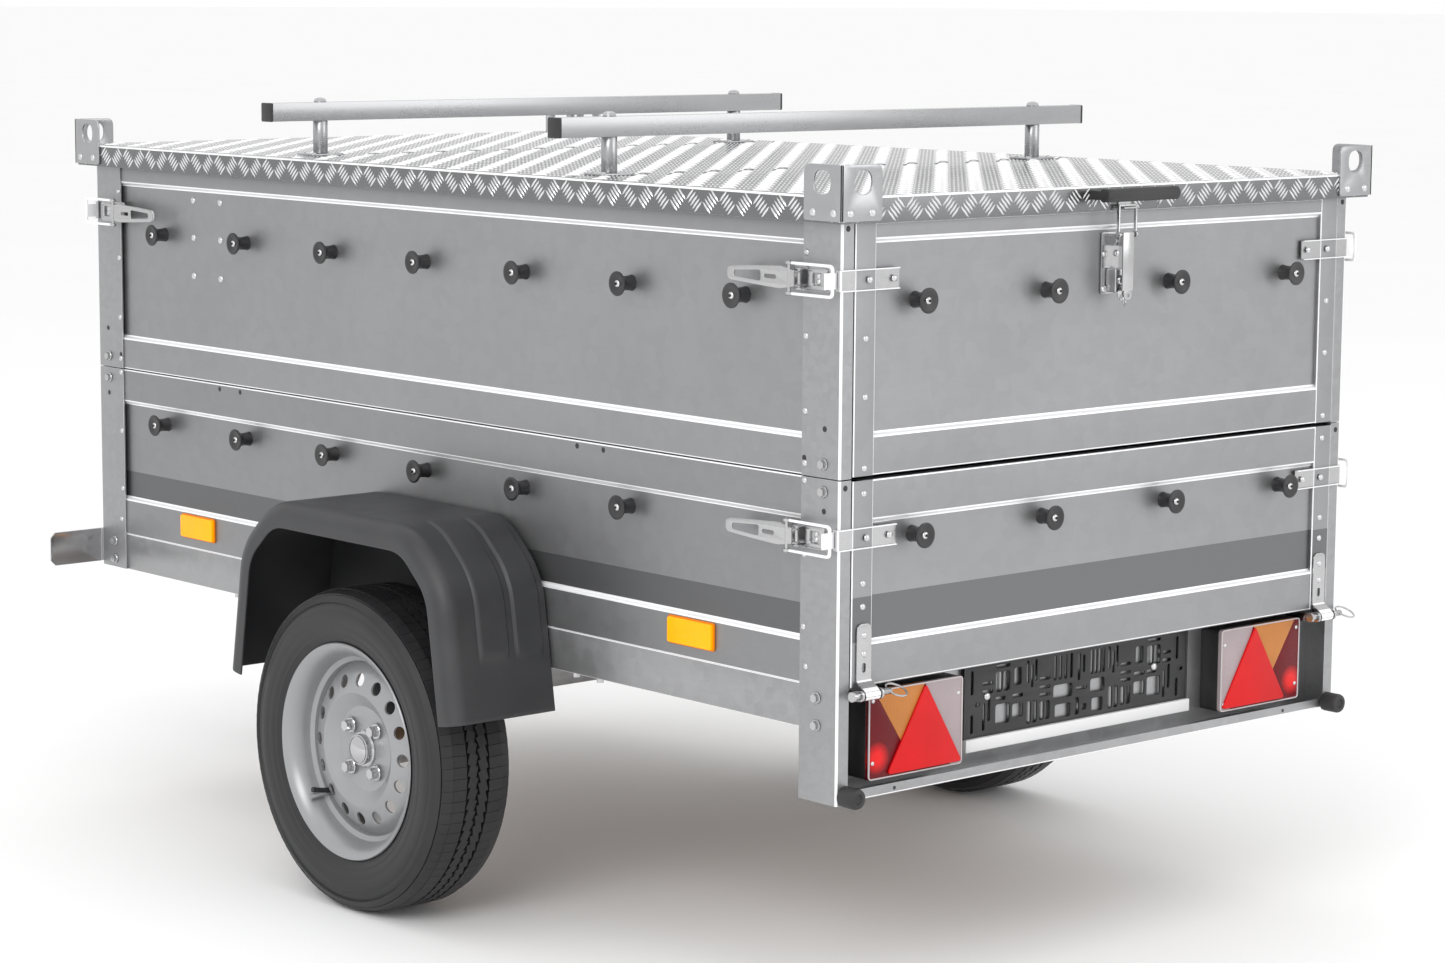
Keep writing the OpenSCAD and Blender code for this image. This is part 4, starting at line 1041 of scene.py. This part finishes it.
def holderWindows(x0, x1, kind):  # each column of the grid carries its own set of openings
    w = x1 - x0
    sets = (
        [(x0, 444, x0 + w * 0.44, 476, 5), (x0 + w * 0.54, 444, x1, 476, 5), (x0, 392, x1, 424, 5),
         (x0, 430, x1 - 10, 436, 2.5), (x0, 482, x1, 487, 2.5)],
        [(x0, 398, x1, 420, 4), (x0 + 4, 450, x1 - 4, 478, 4), (x0, 430, x1, 436, 2.5)],
        [(x0 + 6, 384, x0 + 12, 414, 3), (x0 + 6, 446, x0 + 12, 484, 3), (x0 + 16, 426, x1, 432, 2.5)],
        [(x0, 386, x0 + 6, 430, 3), (x0 + 12, 400, x0 + 18, 440, 3), (x0, 444, x1, 450, 2.5),
         (x0, 458, x1, 463, 2.5)],
        [(x0, 384, x0 + w * 0.42, 420, 4), (x0 + w * 0.56, 384, x1, 420, 4), (x0, 450, x0 + 5, 486, 2),
         (x0 + 10, 442, x0 + 15, 478, 2), (x1 - 5, 452, x1, 486, 2)],
        [(x0, 386, x0 + w * 0.4, 416, 4), (x0 + w * 0.55, 386, x1, 416, 4)] +
        [(x0, z, x1, z + 5, 2) for z in (424, 436, 450)],
        [(x, 446, x + 6, 486, 3) for x in (x0, x0 + w * 0.28, x0 + w * 0.56, x1 - 6)] +
        [(x0, 416, x1, 438, 5), (x0 + 4, 384, x1 - 4, 406, 4)],
        [(x0, 384, x0 + 10, 412, 3), (x0 + 16, 390, x1, 400, 3), (x0 + 2, 424, x1, 429, 2),
         (x0 + 6, 440, x0 + 12, 484, 2), (x0 + 18, 452, x0 + 23, 480, 2)])
    return [roundRect(*window, 3) for window in sets[kind]]


def buildHolder():
    h = holderPlan
    half, (low, high), front, back = h["half"], h["z"], h["front"], h["back"]
    windows = [window for column in h["columns"] for window in holderWindows(*column)]
    board = roundRect(-half, low, half, high, 5)
    hollow = roundRect(-half + 4, low + 4, half - 4, high - 4, 3)
    strip = roundRect(-half, h["strip"][0], half, h["strip"][1], 1.5)
    finishParts([endPlate("holderGrid", board, windows, front + 5, front + 8, 0.6, lampPlastic),
                 endPlate("holderRim", board, [hollow], front + 4, back, 0.6, lampPlastic),
                 endPlate("holderStrip", strip, [], front - 2, back, 0.7, whiteStrip)], "plate_holder")
    rivetRow("holderScrews", "plate_holder", spotsFacing(rearward, [(x, -975.4, 440) for x in (-210, 180)]),
             6.5, 3.0)


buildHolder()


reflectorPlan = {"amber": (641, 524, 745, 564), "rim": 2.5, "white": (620, 454, 684, 494),
                 "frontFace": 1035.8}


def buildReflectors():
    parts = []
    r = reflectorPlan
    (y0, z0, y1, z1), rimWidth, face = r["amber"], r["rim"], r["frontFace"]
    amber, white = roundRect(y0, z0, y1, z1, 4), roundRect(*r["white"], 4)
    rim = roundRect(y0 - rimWidth, z0 - rimWidth, y1 + rimWidth, z1 + rimWidth, 5)
    for side in bothSides:
        for end in bothSides:
            parts.append(sidePlate("amber", amber, [], side * 581, 8, 1.4, amberSideGlowing, end))
            parts.append(sidePlate("amberBase", rim, [], side * 578.6, 3, 0.8, amberBase, end))
        parts.append(endPlate("frontWhite", white, [], face - 7.6, face, 1.4, frontLens, side))
    finishParts(parts, "side_reflectors")


buildReflectors()
bufferProfile = [(0, 0), (0, 15.6), (2, 16), (27, 16), (30.5, 14.6), (31.8, 11), (31.8, 8), (29.6, 6.5),
                 (29.6, 0)]
for side, suffix in ((1, "right"), (-1, "left")):
    seat = at(side * 563, -1025, 341)
    settle(turnedPart("buffer_" + suffix, bufferProfile, seat, rearward, buffRubber, 36), "buffers")
print("lamps and trim built")

knobPlan = {"pitch": 268.0, "gatePitch": 283.0, "upper": 1078.0, "lower": 725.0, "face": 571.0,
            "gateFace": -1020.0, "dish": 29.2}


def buildKnobs(node, spots):
    fasteners(knobs, node + "_finish", node, spots, knobPlastic, {}, True)
    deep = knobPlan["dish"]
    lifted = [((p[0] + d[0] * deep, p[1] + d[1] * deep, p[2]), d) for p, d in spots]
    rivetRow(node + "_screws", node, lifted, 5.8, 2.6)
    # a dark hex of painted shade stands for the socket in each screw head
    boltRow(node + "_sockets", node, lifted, lampPlastic, 2.6, 5.6, 2.6)


def buildAllKnobs():
    k = knobPlan
    places = [(k["face"], i * k["pitch"], k["upper"]) for i in range(-3, 4)]
    places += [(k["face"], i * k["pitch"], k["lower"]) for i in range(-2, 4)]
    buildKnobs("side_knobs", mirrored(spotsFacing(right, places)))
    for node, z in (("upper_gate_knobs", k["upper"]), ("lower_gate_knobs", k["lower"])):
        places = [(i * k["gatePitch"], k["gateFace"], z) for i in (-1.5, -0.5, 0.5, 1.5)]
        buildKnobs(node, spotsFacing(rearward, places))


buildAllKnobs()
print("knobs built")

gatePlan = {"out": 1026.0, "reach": 534.0, "half": 554.0, "strip": 42.0, "stripBack": 24.0, "proud": 0.6,
            "lower": (505.0, 568.0, 755.0, 815.0), "upper": (821.5, 880.0, 1172.0, 1196.5)}


def buildGate(node, zs, look):
    g = gatePlan
    bm = bmesh.new()
    path = [(-y, z) for y, z in boardPath(g["out"], *zs)]
    gateHighlightMarks = [(-y, z) for y, z in beadHighlightMarks(g["out"], zs)]
    sheetAlong(bm, "x", path, -boardPlan["sheet"], (-g["reach"], g["reach"]), boardPlan["corner"], (1, 1, 1),
               gateHighlightMarks, 6)
    inner, back, front = g["half"] - g["strip"], g["stripBack"] - g["out"], -g["out"] - g["proud"]
    for side in bothSides:  # folded strips down both ends of the gate
        sheetAlong(bm, "z", [(inner, back), (inner, front), (g["half"], front), (g["half"], back)], 2.0,
                   (zs[0], zs[3]), 1.6, (side, 1, 1))
        if node == "upper_gate":
            latheIn(bm, [(0, 0), (0, 4.5), (0.6, 5), (35.4, 5), (36, 4.5), (36, 0)],
                    at(side * 534, -1010, 838), (side, 0, 0), 24)
    return settle(toObject(node + "_finish", bm, [look, foldHighlightAndBrightZinc]), node)


buildGate("lower_gate", gatePlan["lower"], gateBanded)
buildGate("upper_gate", gatePlan["upper"], boardZinc)
for node, heights in (("upper_gate", (1026, 939, 833)), ("lower_gate", (795, 660, 625))):
    places = [(s * 531, -1026.6, z) for s in bothSides for z in heights]
    rivetRow(node + "_rivets", node, spotsFacing(rearward, places), 5.2, 2.6)
catchPlan = {"upper": 1113, "lower": 729, "half": 16, "side": 583.2, "inner": 464, "back": 1016,
             "face": 1026.2, "setBack": 0.9, "sheet": 2.3, "lowerRivets": (527, 480), "rivets": (527, 477),
             "rivetFace": 1029.6}


def buildCatch(z, side, end):  # folded strap whose hook takes the loop of a toggle latch
    c = catchPlan
    half, setBack = c["half"], c["setBack"] if end > 0 else 0.0
    back, face = c["back"] - setBack, c["face"] - setBack
    bm = bmesh.new()
    sheetAlong(bm, "z", [(c["side"], back), (c["side"], face), (c["inner"], face)], c["sheet"],
               (z - half, z + half), 2.4, (side, end, 1))
    # a tab of the catch, in painted highlight
    boxIn(bm, (side * 584, end * back, z - 12), (side * 607, end * (back + 2.5), z + 12), 1)
    for edge in (-half, half - 1.6):  # raised folds along both sides of the strap, in painted highlight
        boxIn(bm, (side * (c["inner"] + 2), end * (face + 1.4), z + edge),
              (side * 584, end * (face + 4.8), z + edge + 1.6), 1)
    return bevelled(toObject("catch", bm, [platedSteel, foldHighlightAndBrightZinc]), 0.4, 1)


def catchSpots(z, places):
    return spotsFacing(rearward, [(s * x, -catchPlan["rivetFace"], z) for s in bothSides for x in places])


def buildHingeStraps():
    parts, dimples = [], []
    roll = [(-1027.2, 520), (-1030, 514), (-1046, 503), (-1052, 497), (-1050.5, 488.5), (-1043, 485.6),
            (-1035.5, 488.5), (-1034, 495), (-1036, 501)]  # round the hinge pin
    for side in bothSides:
        x = side * hingePlan["x"]
        loop = arcLoop([(x - 15, 514), (x + 15, 514), (x + 15, 600), (x - 15, 600)], [1, 1, 12, 12], 6)
        slot = roundRect(x - 4, 526, x + 4, 540, 4)
        parts.append(endPlate("strap", loop, [slot], -1030.05, -1027.15, 0.6, platedSteel))
        bm = bmesh.new()
        sheetAlong(bm, "x", roll, 2.6, (x - 15, x + 15), 5.0)
        parts.append(toObject("strapRoll", bm, [platedSteel, foldHighlightAndBrightZinc]))
        dimples += [(x, -1030, z) for z in (554, 582)]
    parts += [buildCatch(catchPlan["lower"], side, -1) for side in bothSides]
    finishParts(parts, "lower_gate_straps")
    rivetRow("hingeStrapRivets", "lower_gate_straps", spotsFacing(rearward, dimples), 5.2, 2.6)
    rivetRow("lowerCatchRivets", "lower_gate_straps",
             catchSpots(catchPlan["lower"], catchPlan["lowerRivets"]), 5.5, 3.0)


buildHingeStraps()


def buildUpperStraps():
    parts = [buildCatch(catchPlan["upper"], side, -1) for side in bothSides]
    lockPlate, keyway = roundRect(-20, 1065, 20, 1162, 4), roundRect(-6, 1074, 6, 1084, 3)
    parts.append(endPlate("lockPlate", lockPlate, [keyway], -1023.5, -1021, 0.5, platedSteel))
    ear = arcLoop([(-1021.5, 1142), (-1021.5, 1158), (-1046, 1158), (-1053, 1150), (-1046, 1142)],
                  [0, 0, 4, 6, 4])
    for x in (-15.5, 15.5):
        parts.append(sidePlate("lockEar", ear, [circleLoop(-1048, 1150, 3.3, 16)], x, 3.0, 0.5, platedSteel))
    bm = bmesh.new()  # barrel block of the lock, below the lever
    boxIn(bm, (-11, -1046, 1068), (15, -1024, 1106))
    parts.append(bevelled(toObject("barrel", bm, [platedSteel]), 2.5, 3))
    parts.append(turnedPart("keyhole", [(0, 0), (0, 8.5), (3.5, 8.5), (4.5, 7.6), (4.5, 3), (2, 3), (2, 0)],
                            at(2, -1045.5, 1087), rearward, capChrome, 28))
    finishParts(parts, "upper_gate_straps")
    lockSpots = spotsFacing(rearward, [(x, -1024.4, z) for x in (-14, 14) for z in (1073, 1128)])
    spots = catchSpots(catchPlan["upper"], catchPlan["rivets"]) + lockSpots
    rivetRow("upperCatchRivets", "upper_gate_straps", spots, 5.5, 3.0)


buildUpperStraps()


def buildKeys():  # two keys on a ring
    parts = []
    blade = arcLoop([(-3.2, -12), (3.2, -12), (3.2, 6), (1.6, 9), (-3.2, 9)], [0, 0, 1, 1, 1])
    for tilt, shift in ((0.25, 0.0), (-0.35, 2.6)):
        turn = Matrix.Translation(at(2, -1051 - shift, 1084)) @ Matrix.Rotation(tilt, 4, "Y")
        turn = turn @ facing((0, 0, 0), (1, 0, 0), (0, 0, 1))
        head, bow = circleLoop(0, -19, 9.5, 28), circleLoop(0, -22, 3, 14)
        parts.append(plate("keyHead", head, [bow], 1.9, 0.4, turn, platedSteel))
        parts.append(plate("keyBlade", blade, [], 1.8, 0.3, turn, platedSteel))
    bm = bmesh.new()
    ringIn(bm, at(3, -1052, 1056), (0.5, -0.86, 0), 8.5, 0.9)
    parts.append(toObject("keyRing", bm, [capChrome]))
    settle(join(parts, "lockKeys"), "upper_gate_straps", False)


buildKeys()
refine("lock_lever", platedSteel, None, 0.6)
refine("lock_bail", platedSteel, None, 0.6)


def buildPins():
    h, out, ring = hingePlan, 38, 17
    pin = [(0, 0), (0, 7.4), (0.8, 8), (4, 8), (4.6, 7.4), (4.6, 5), (80, 5), (81.5, 4), (81.5, 0)]
    bm = bmesh.new()
    for side in bothSides:
        x = side * h["x"]
        latheIn(bm, pin, at(x - out, h["y"], h["z"]), right, 28)
        ringIn(bm, at(x + out + ring, h["y"], h["z"]), (0.08, -0.45, 1), ring, 1.6)
    return settle(toObject("hinge_pins_finish", bm, [platedSteel]), "hinge_pins")


buildPins()
print("gates built")

leverPlan = {"pivot": (594.0, 948.0), "loopPivot": (601.0, 934.0), "face": 601.2, "sheet": 2.4, "tip": 797.0}
latches = [("rear_upper_left", -1, -1, 1113), ("rear_upper_right", 1, -1, 1113),
           ("rear_lower_left", -1, -1, 729), ("rear_lower_right", 1, -1, 729), ("front_left", -1, 1, 1113),
           ("front_right", 1, 1, 1113)]


def leverOutline(start):
    tip = leverPlan["tip"]
    return arcLoop([(start, -12), (start, 12), (915, 17), (855, 14), (tip, 10), (tip, -10), (855, -14),
                    (915, -17)],
                   [2, 2, 6, 20, 9, 9, 20, 6])


def buildLever(name, side, end, z):
    p = leverPlan
    tip, pivot, loopPivot = p["tip"] + 3, p["pivot"], p["loopPivot"]
    window = arcLoop([(812, -4.5), (872, -8), (872, 8), (812, 4.5)], 4)
    slot = roundRect(880, -3, 906, 3, 3)
    hollow = arcLoop([(943, -9.4), (943, 9.4), (914, 14.4), (855, 11.6), (tip, 7.6), (tip, -7.6),
                      (855, -11.6), (914, -14.4)], [1, 1, 5, 18, 7, 7, 18, 5])
    bm = bmesh.new()
    for dz in (-11, 9):
        boxIn(bm, (side * 590, end * 918, z + dz), (side * 600.5, end * 952, z + dz + 2))
    latheIn(bm, [(-16, 0), (-16, 3), (16, 3), (16, 0)], at(side * pivot[0], end * pivot[1], z), (0, 0, 1), 20)
    latheIn(bm,
            [(-26, 0), (-26, 3.9), (-25.1, 4), (-25.1, 2.75), (25.1, 2.75), (25.1, 4), (26, 3.9), (26, 0)],
            at(side * loopPivot[0], end * loopPivot[1], z), (0, 0, 1), 20)
    finishParts([
        sidePlate(name, leverOutline(945), [window, slot], side * p["face"], p["sheet"], 0.7, platedSteel,
                  end, z),
        # the lever's rim plate, in bright zinc and painted highlight
        sidePlate(name, leverOutline(940), [hollow], side * 599.8, 4.4, 0.8, foldHighlightAndBrightZinc, end, z),
        bevelled(toObject(name, bm, [platedSteel]), 0.4, 1)], "lever_" + name)


def buildLoop(name, side, end, z):
    x, y = leverPlan["loopPivot"]
    outer = arcLoop([(932, -25), (1030, -25), (1030, 25), (932, 25)], [0, 9, 9, 0])
    inner = arcLoop([(932, -20.5), (1025, -20.5), (1025, 20.5), (932, 20.5)], [0, 5, 5, 0])
    bm = bmesh.new()
    for dz in (-25, 20.5):
        latheIn(bm, [(0, 3.2), (0, 5.4), (0.6, 6), (3.9, 6), (4.5, 5.4), (4.5, 3.2)],
                at(side * x, end * y, z + dz), (0, 0, 1), 24, True)
    finishParts([sidePlate(name, outer + inner[::-1], [], side * x, 3.6, 1.1, foldHighlightAndBrightZinc, end, z),
                 toObject(name, bm, [platedSteel])], "loop_" + name)


def buildBases():
    parts, spots = [], []
    outline = roundRect(925, -19, 1003, 19, 5)
    cover = arcLoop([(958, -15), (1000, -17), (1000, 17), (958, 15)], [3, 6, 6, 3])
    for _, side, end, z in latches:
        parts.append(sidePlate("base", outline, [], side * 581.4, 2.4, 0.7, platedSteel, end, z))
        parts.append(sidePlate("baseStep", cover, [roundRect(968, -9, 990, 9, 3)], side * 584.6, 4.2, 1.2,
                               platedSteel, end, z))
        bm = bmesh.new()
        for dz in (-16, 13):
            boxIn(bm, (side * 582, end * 941, z + dz), (side * 598, end * 955, z + dz + 3))
        parts.append(bevelled(toObject("ears", bm, [platedSteel]), 1.2, 2))
        spots += [((side * 582.6, end * 978.5, z + dz), (side, 0, 0)) for dz in (-4, 5)]
        if end > 0:
            parts.append(buildCatch(z, side, 1))
            spots += [((side * x, catchPlan["rivetFace"], z), (0, 1, 0)) for x in catchPlan["rivets"]]
    finishParts(parts, "latch_bases")
    rivetRow("latchRivets", "latch_bases", spots, 5.0, 2.6)


buildBases()
for latch in latches:
    buildLever(*latch)
    buildLoop(*latch)
print("latches built")

lidPlan = {"halfX": 604.0, "halfY": 1049.0, "low": 1198.0, "high": 1237.0, "skin": 2.5, "fold": 3.0}
treadPlan = {"cell": 38.0, "bars": 5, "length": 27.0, "width": 4.4, "rise": 1.5, "gap": 6.6, "sunk": 0.2}


def buildLidSkin():
    p = lidPlan
    bm = bmesh.new()
    r = p["fold"]
    turns = [math.pi / 2 * k / 5 for k in range(6)]
    outside = [(0.0, p["low"])] + [(r - r * math.cos(turn),
                                    p["high"] - r + r * math.sin(turn)) for turn in turns]
    inside = [(p["skin"], p["high"] - p["skin"]), (p["skin"], p["low"])]

    def ringAt(inset, z):
        x, y = p["halfX"] - inset, p["halfY"] - inset
        return [bm.verts.new(at(*corner, z)) for corner in ((x, y), (-x, y), (-x, -y), (x, -y))]

    def wall(a, b, slot=0):
        for k in range(4):
            n = (k + 1) % 4
            bm.faces.new((a[k], a[n], b[n], b[k])).material_index = slot
    rings, under = [ringAt(*level) for level in outside], [ringAt(*level) for level in inside]
    # the rounded fold round the lid's top edge takes the painted highlight
    for i, (a, b) in enumerate(zip(rings, rings[1:])):
        wall(a, b, min(i, 1))
    bm.faces.new(rings[-1])
    wall(under[0], under[1])
    wall(under[1], rings[0])
    bm.faces.new(under[0])
    settle(toObject("lid_skin_finish", bm, [shadedTreadAlloy, foldHighlightAndBrightZinc], 50), "lid_skin")


buildLidSkin()


def treadTree():
    tree, given, out = geometryTree("treadPlate", [
        ("Bars", "Int", 5), ("Length", "Float", 0.027), ("Width", "Float", 0.0044), ("Rise", "Float", 0.0015),
        ("Gap", "Float", 0.0066), ("Turn", "Float", 0.785)])
    size = vectorOf(tree, times(tree, given["Length"], 0.5), times(tree, given["Width"], 0.5), given["Rise"])
    shaped = moved(tree, cone(tree, 6, 0.42, 1.0, 1.0), Scale=size)
    half = times(tree, calc(tree, "SUBTRACT", given["Bars"], 1.0), 0.5)
    start = vectorOf(tree, y=times(tree, times(tree, given["Gap"], half), -1.0))
    row = addNode(tree, "GeometryNodeMeshLine", {"Count": given["Bars"], "Start Location": start,
                                                 "Offset": vectorOf(tree, y=given["Gap"])}, mode="OFFSET")
    group = addNode(tree, "GeometryNodeInstanceOnPoints", {"Points": row.outputs[0], "Instance": shaped})
    solid = addNode(tree, "GeometryNodeRealizeInstances", {0: group.outputs[0]})
    turned = moved(tree, solid.outputs[0], Rotation=vectorOf(tree, z=given["Turn"]))
    return closeTree(tree, given, out, onPoints(tree, given, turned))


treadPattern = treadTree()


# groups of five bars that turn a quarter from one cell to the next, on the top and four sides
def buildTread():
    p, t = lidPlan, treadPlan
    cell, middle = t["cell"], (p["low"] + p["high"]) / 2 - 0.5
    nx, ny = int(p["halfX"] * 2 / cell), int(p["halfY"] * 2 / cell)
    xs, ys = [[(i - n / 2 + 0.5) * cell for i in range(n)] for n in (nx, ny)]
    outX, outY, top = p["halfX"] - t["sunk"], p["halfY"] - t["sunk"], p["high"] - t["sunk"]
    sizes = {label.capitalize(): t[label] * mm for label in ("length", "width", "rise", "gap")}
    parts = []
    for parity, turn in ((0, math.radians(45)), (1, math.radians(-45))):
        faces = {"top": [(at(x, y, top), (0, 0, 1)) for i, x in enumerate(xs) for j, y in enumerate(ys)
                         if (i + j) % 2 == parity],
                 "sides": [(at(s * outX, y, middle), (s, 0, 0)) for s in bothSides for j, y in enumerate(ys)
                           if (j + (s < 0)) % 2 == parity],
                 "ends": [(at(x, s * outY, middle), (0, s, 0)) for s in bothSides for i, x in enumerate(xs)
                          if (i + (s < 0)) % 2 == parity]}
        for label, spots in faces.items():
            values = {"Bars": t["bars"], "Turn": turn, "Finish": litBarAlloy, **sizes}
            parts.append(grow(treadPattern, "tread_" + label, spots, values))
    settle(join(parts, "lidTreadBars"), "lid_skin", False)


buildTread()
eyePlan = {"wide": 82.0, "low": 1201.0, "top": 1284.0, "hole": (43.0, 1258.0, 18.0), "round": 14.0,
           "sheet": 4.0, "edgeX": 608, "edgeY": 1053, "rivets": (18, 62), "rivetZ": 1213}


def eyeLeaf(edge):  # one leaf of a corner eye, drawn up to the edge where it folds
    e = eyePlan
    back, (inset, z, r) = edge - e["wide"], e["hole"]
    loop = arcLoop([(back, e["low"]), (edge, e["low"]), (edge, e["top"]), (back, e["top"])],
                   [6, 0, 0, e["round"]])
    return loop, [roundRect(edge - inset - r, z - r, edge - inset + r, z + r, 17.5, 9)]


def buildEyes():
    e = eyePlan
    x, y, z, sheet = e["edgeX"], e["edgeY"], e["rivetZ"], e["sheet"]
    tall = e["top"] - e["low"]
    parts, spots = [], []
    for side in bothSides:
        for end in bothSides:
            parts.append(sidePlate("eye", *eyeLeaf(y), side * (x - sheet / 2), sheet, 0.9, tubeAlloy, end))
            parts.append(endPlate("eye", *eyeLeaf(x), end * (y - sheet), end * y, 0.9, tubeAlloy, side))
            bm = bmesh.new()  # rounded outer corner of the folded bracket, in painted highlight
            latheIn(bm, [(0, 0), (0, 4.2), (tall, 4.2), (tall, 0)],
                    at(side * (x - 4.2), end * (y - 4.2), e["low"]), (0, 0, 1), 28)
            parts.append(toObject("eyeCorner", bm, [foldHighlightAndBrightZinc]))
            spots += [((side * x, end * (y - a), z), (side, 0, 0)) for a in e["rivets"]]
            spots += [((side * (x - a), end * y, z), (0, end, 0)) for a in e["rivets"]]
    finishParts(parts, "corner_eyes")
    rivetRow("eyeRivets", "corner_eyes", spots, 6.2, 3.0)


buildEyes()
refine("roof_bars", tubeAlloy, foldHighlightAndBrightZinc, 1.6, 3)
barPlan = {"rows": (420, -383), "foot": 490.0, "end": 602.6}


def buildBarPosts():
    parts, caps = [], []
    stem = [(0, 0), (0, 12.6), (0.6, 13), (57, 13), (58, 12.4), (58, 5), (92, 5), (92, 0)]
    dome = [(0, 0), (0, 11), (1.5, 11.4), (6, 9.6), (8, 5), (8.4, 0)]
    for y in barPlan["rows"]:
        for side in bothSides:
            x = side * barPlan["foot"]
            parts.append(turnedPart("post", stem, at(x, y, 1241), (0, 0, 1), tubeAlloy, 28))
            parts.append(plate("foot", roundRect(x - 35, y - 25, x + 35, y + 25, 8), [], 3.9, 0.9,
                               Matrix.Translation((0, midY, 1.239)), tubeAlloy))
            parts.append(turnedPart("dome", dome, at(x, y, 1331), (0, 0, 1), capChrome, 24))
            cap = roundRect(y - 15.6, 1298.5, y + 15.6, 1331.5, 3)
            caps.append(sidePlate("cap", cap, [], side * barPlan["end"], 4.8, 1.6, knobPlastic))
    finishParts(parts + caps, "bar_posts")
    places = [(s * barPlan["foot"] + dx, y + dy, 1241) for s in bothSides for y in barPlan["rows"]
              for dx in (-25, 25) for dy in (-16, 16)]
    rivetRow("footRivets", "bar_posts", spotsFacing((0, 0, 1), places), 5.0, 2.6)


buildBarPosts()
gripPlan = {"place": (0, -1083, 1224), "arms": (-76, 76), "halfSquare": 9.8}


def buildGrip():
    centre = at(*gripPlan["place"])
    profile = [(-83, 0), (-83, 9.5), (-81, 11), (-70, 11.6), (-66, 10.6), (-30, 10.9), (30, 10.9), (66, 10.6),
               (70, 11.6), (81, 11), (83, 9.5), (83, 0)]
    grip = turnedPart("grip", profile, centre, right, gripRubber, 40, 40)
    for v in grip.data.vertices:  # squarer section than round
        for axis in (1, 2):
            shift = v.co[axis] - centre[axis]
            v.co[axis] = centre[axis] + math.copysign(min(abs(shift), gripPlan["halfSquare"] * mm) * 1.06,
                                                      shift)
    arm = arcLoop([(-1049, 1216), (-1085, 1217), (-1085, 1231), (-1049, 1231)], [0, 6, 6, 0])
    arms = [sidePlate("gripArm", arm, [], x, 7.6, 0.8, lampPlastic) for x in gripPlan["arms"]]
    bm = bmesh.new()
    sheetAlong(bm, "x", [(-1049.2, 1231), (-1049.2, 1200.6), (-1064, 1200.6)], -2.3, (-14, 14), 2.5)
    finishParts([grip, *arms, toObject("catchLip", bm, [platedSteel, foldHighlightAndBrightZinc])], "lid_handle")


buildGrip()
print("lid built")

stagePlan = {"floor": 400.0, "key": 160.0, "fill": 60.0, "top": 40.0, "world": 1.0}
cameraPlan = {"place": (-4.140, -5.181, 1.537), "yaw": 41.48, "pitch": -7.92, "roll": 0.39, "lens": 88.47}


def buildStage():
    bm = bmesh.new()
    bmesh.ops.create_grid(bm, x_segments=1, y_segments=1, size=stagePlan["floor"] / 2)
    made, tree, shader, position = blankMaterial("floorPaper")
    paper = mixColour(tree, noise(tree, position, 0.6, 2.0), (0.94, 0.94, 0.94, 1), (0.97, 0.97, 0.97, 1))
    tree.links.new(paper, shader.inputs["Base Color"])
    shader.inputs["Roughness"].default_value = 0.9
    floor = toObject("studioFloor", bm, [made])
    world = bpy.data.worlds.new("studioWorld")
    bpy.context.scene.world = world
    world.use_nodes = True
    background = world.node_tree.nodes["Background"]
    background.inputs["Color"].default_value = (1, 1, 1, 1)
    background.inputs["Strength"].default_value = stagePlan["world"]


def areaLight(name, place, aim, size, power):
    light = bpy.data.lights.new(name, "AREA")
    light.shape = "RECTANGLE"
    light.size, light.size_y = size
    light.energy = power
    lamp = newObject(name, light)
    lamp.location = place
    lamp.rotation_euler = (Vector(aim) - Vector(place)).to_track_quat("-Z", "Y").to_euler()


def buildCamera():
    p = cameraPlan
    yaw, pitch, roll = (math.radians(p[label]) for label in ("yaw", "pitch", "roll"))
    forward = Vector((math.cos(pitch) * math.sin(yaw), math.cos(pitch) * math.cos(yaw), math.sin(pitch)))
    level = forward.cross(Vector((0, 0, 1))).normalized()
    up = level.cross(forward)
    across = level * math.cos(roll) + up * math.sin(roll)
    upright = up * math.cos(roll) - level * math.sin(roll)
    data = bpy.data.cameras.new("studioCamera")
    data.sensor_width = 36.0
    data.lens = p["lens"]
    camera = newObject("studioCamera", data)
    rows = [(across[k], upright[k], -forward[k], p["place"][k]) for k in range(3)]
    camera.matrix_world = Matrix((*rows, (0, 0, 0, 1)))
    bpy.context.scene.camera = camera


buildStage()
areaLight("keyLight", (-5.5, -3.5, 4.2), (0, -0.2, 0.8), (4.0, 3.0), stagePlan["key"])
areaLight("fillLight", (3.0, -6.5, 2.6), (0, -0.4, 0.7), (4.0, 2.6), stagePlan["fill"])
areaLight("topLight", (0, 0.5, 5.5), (0, 0, 1.0), (5.0, 5.0), stagePlan["top"])
buildCamera()
bpy.context.scene.view_settings.view_transform = "Standard"
print("stage built")
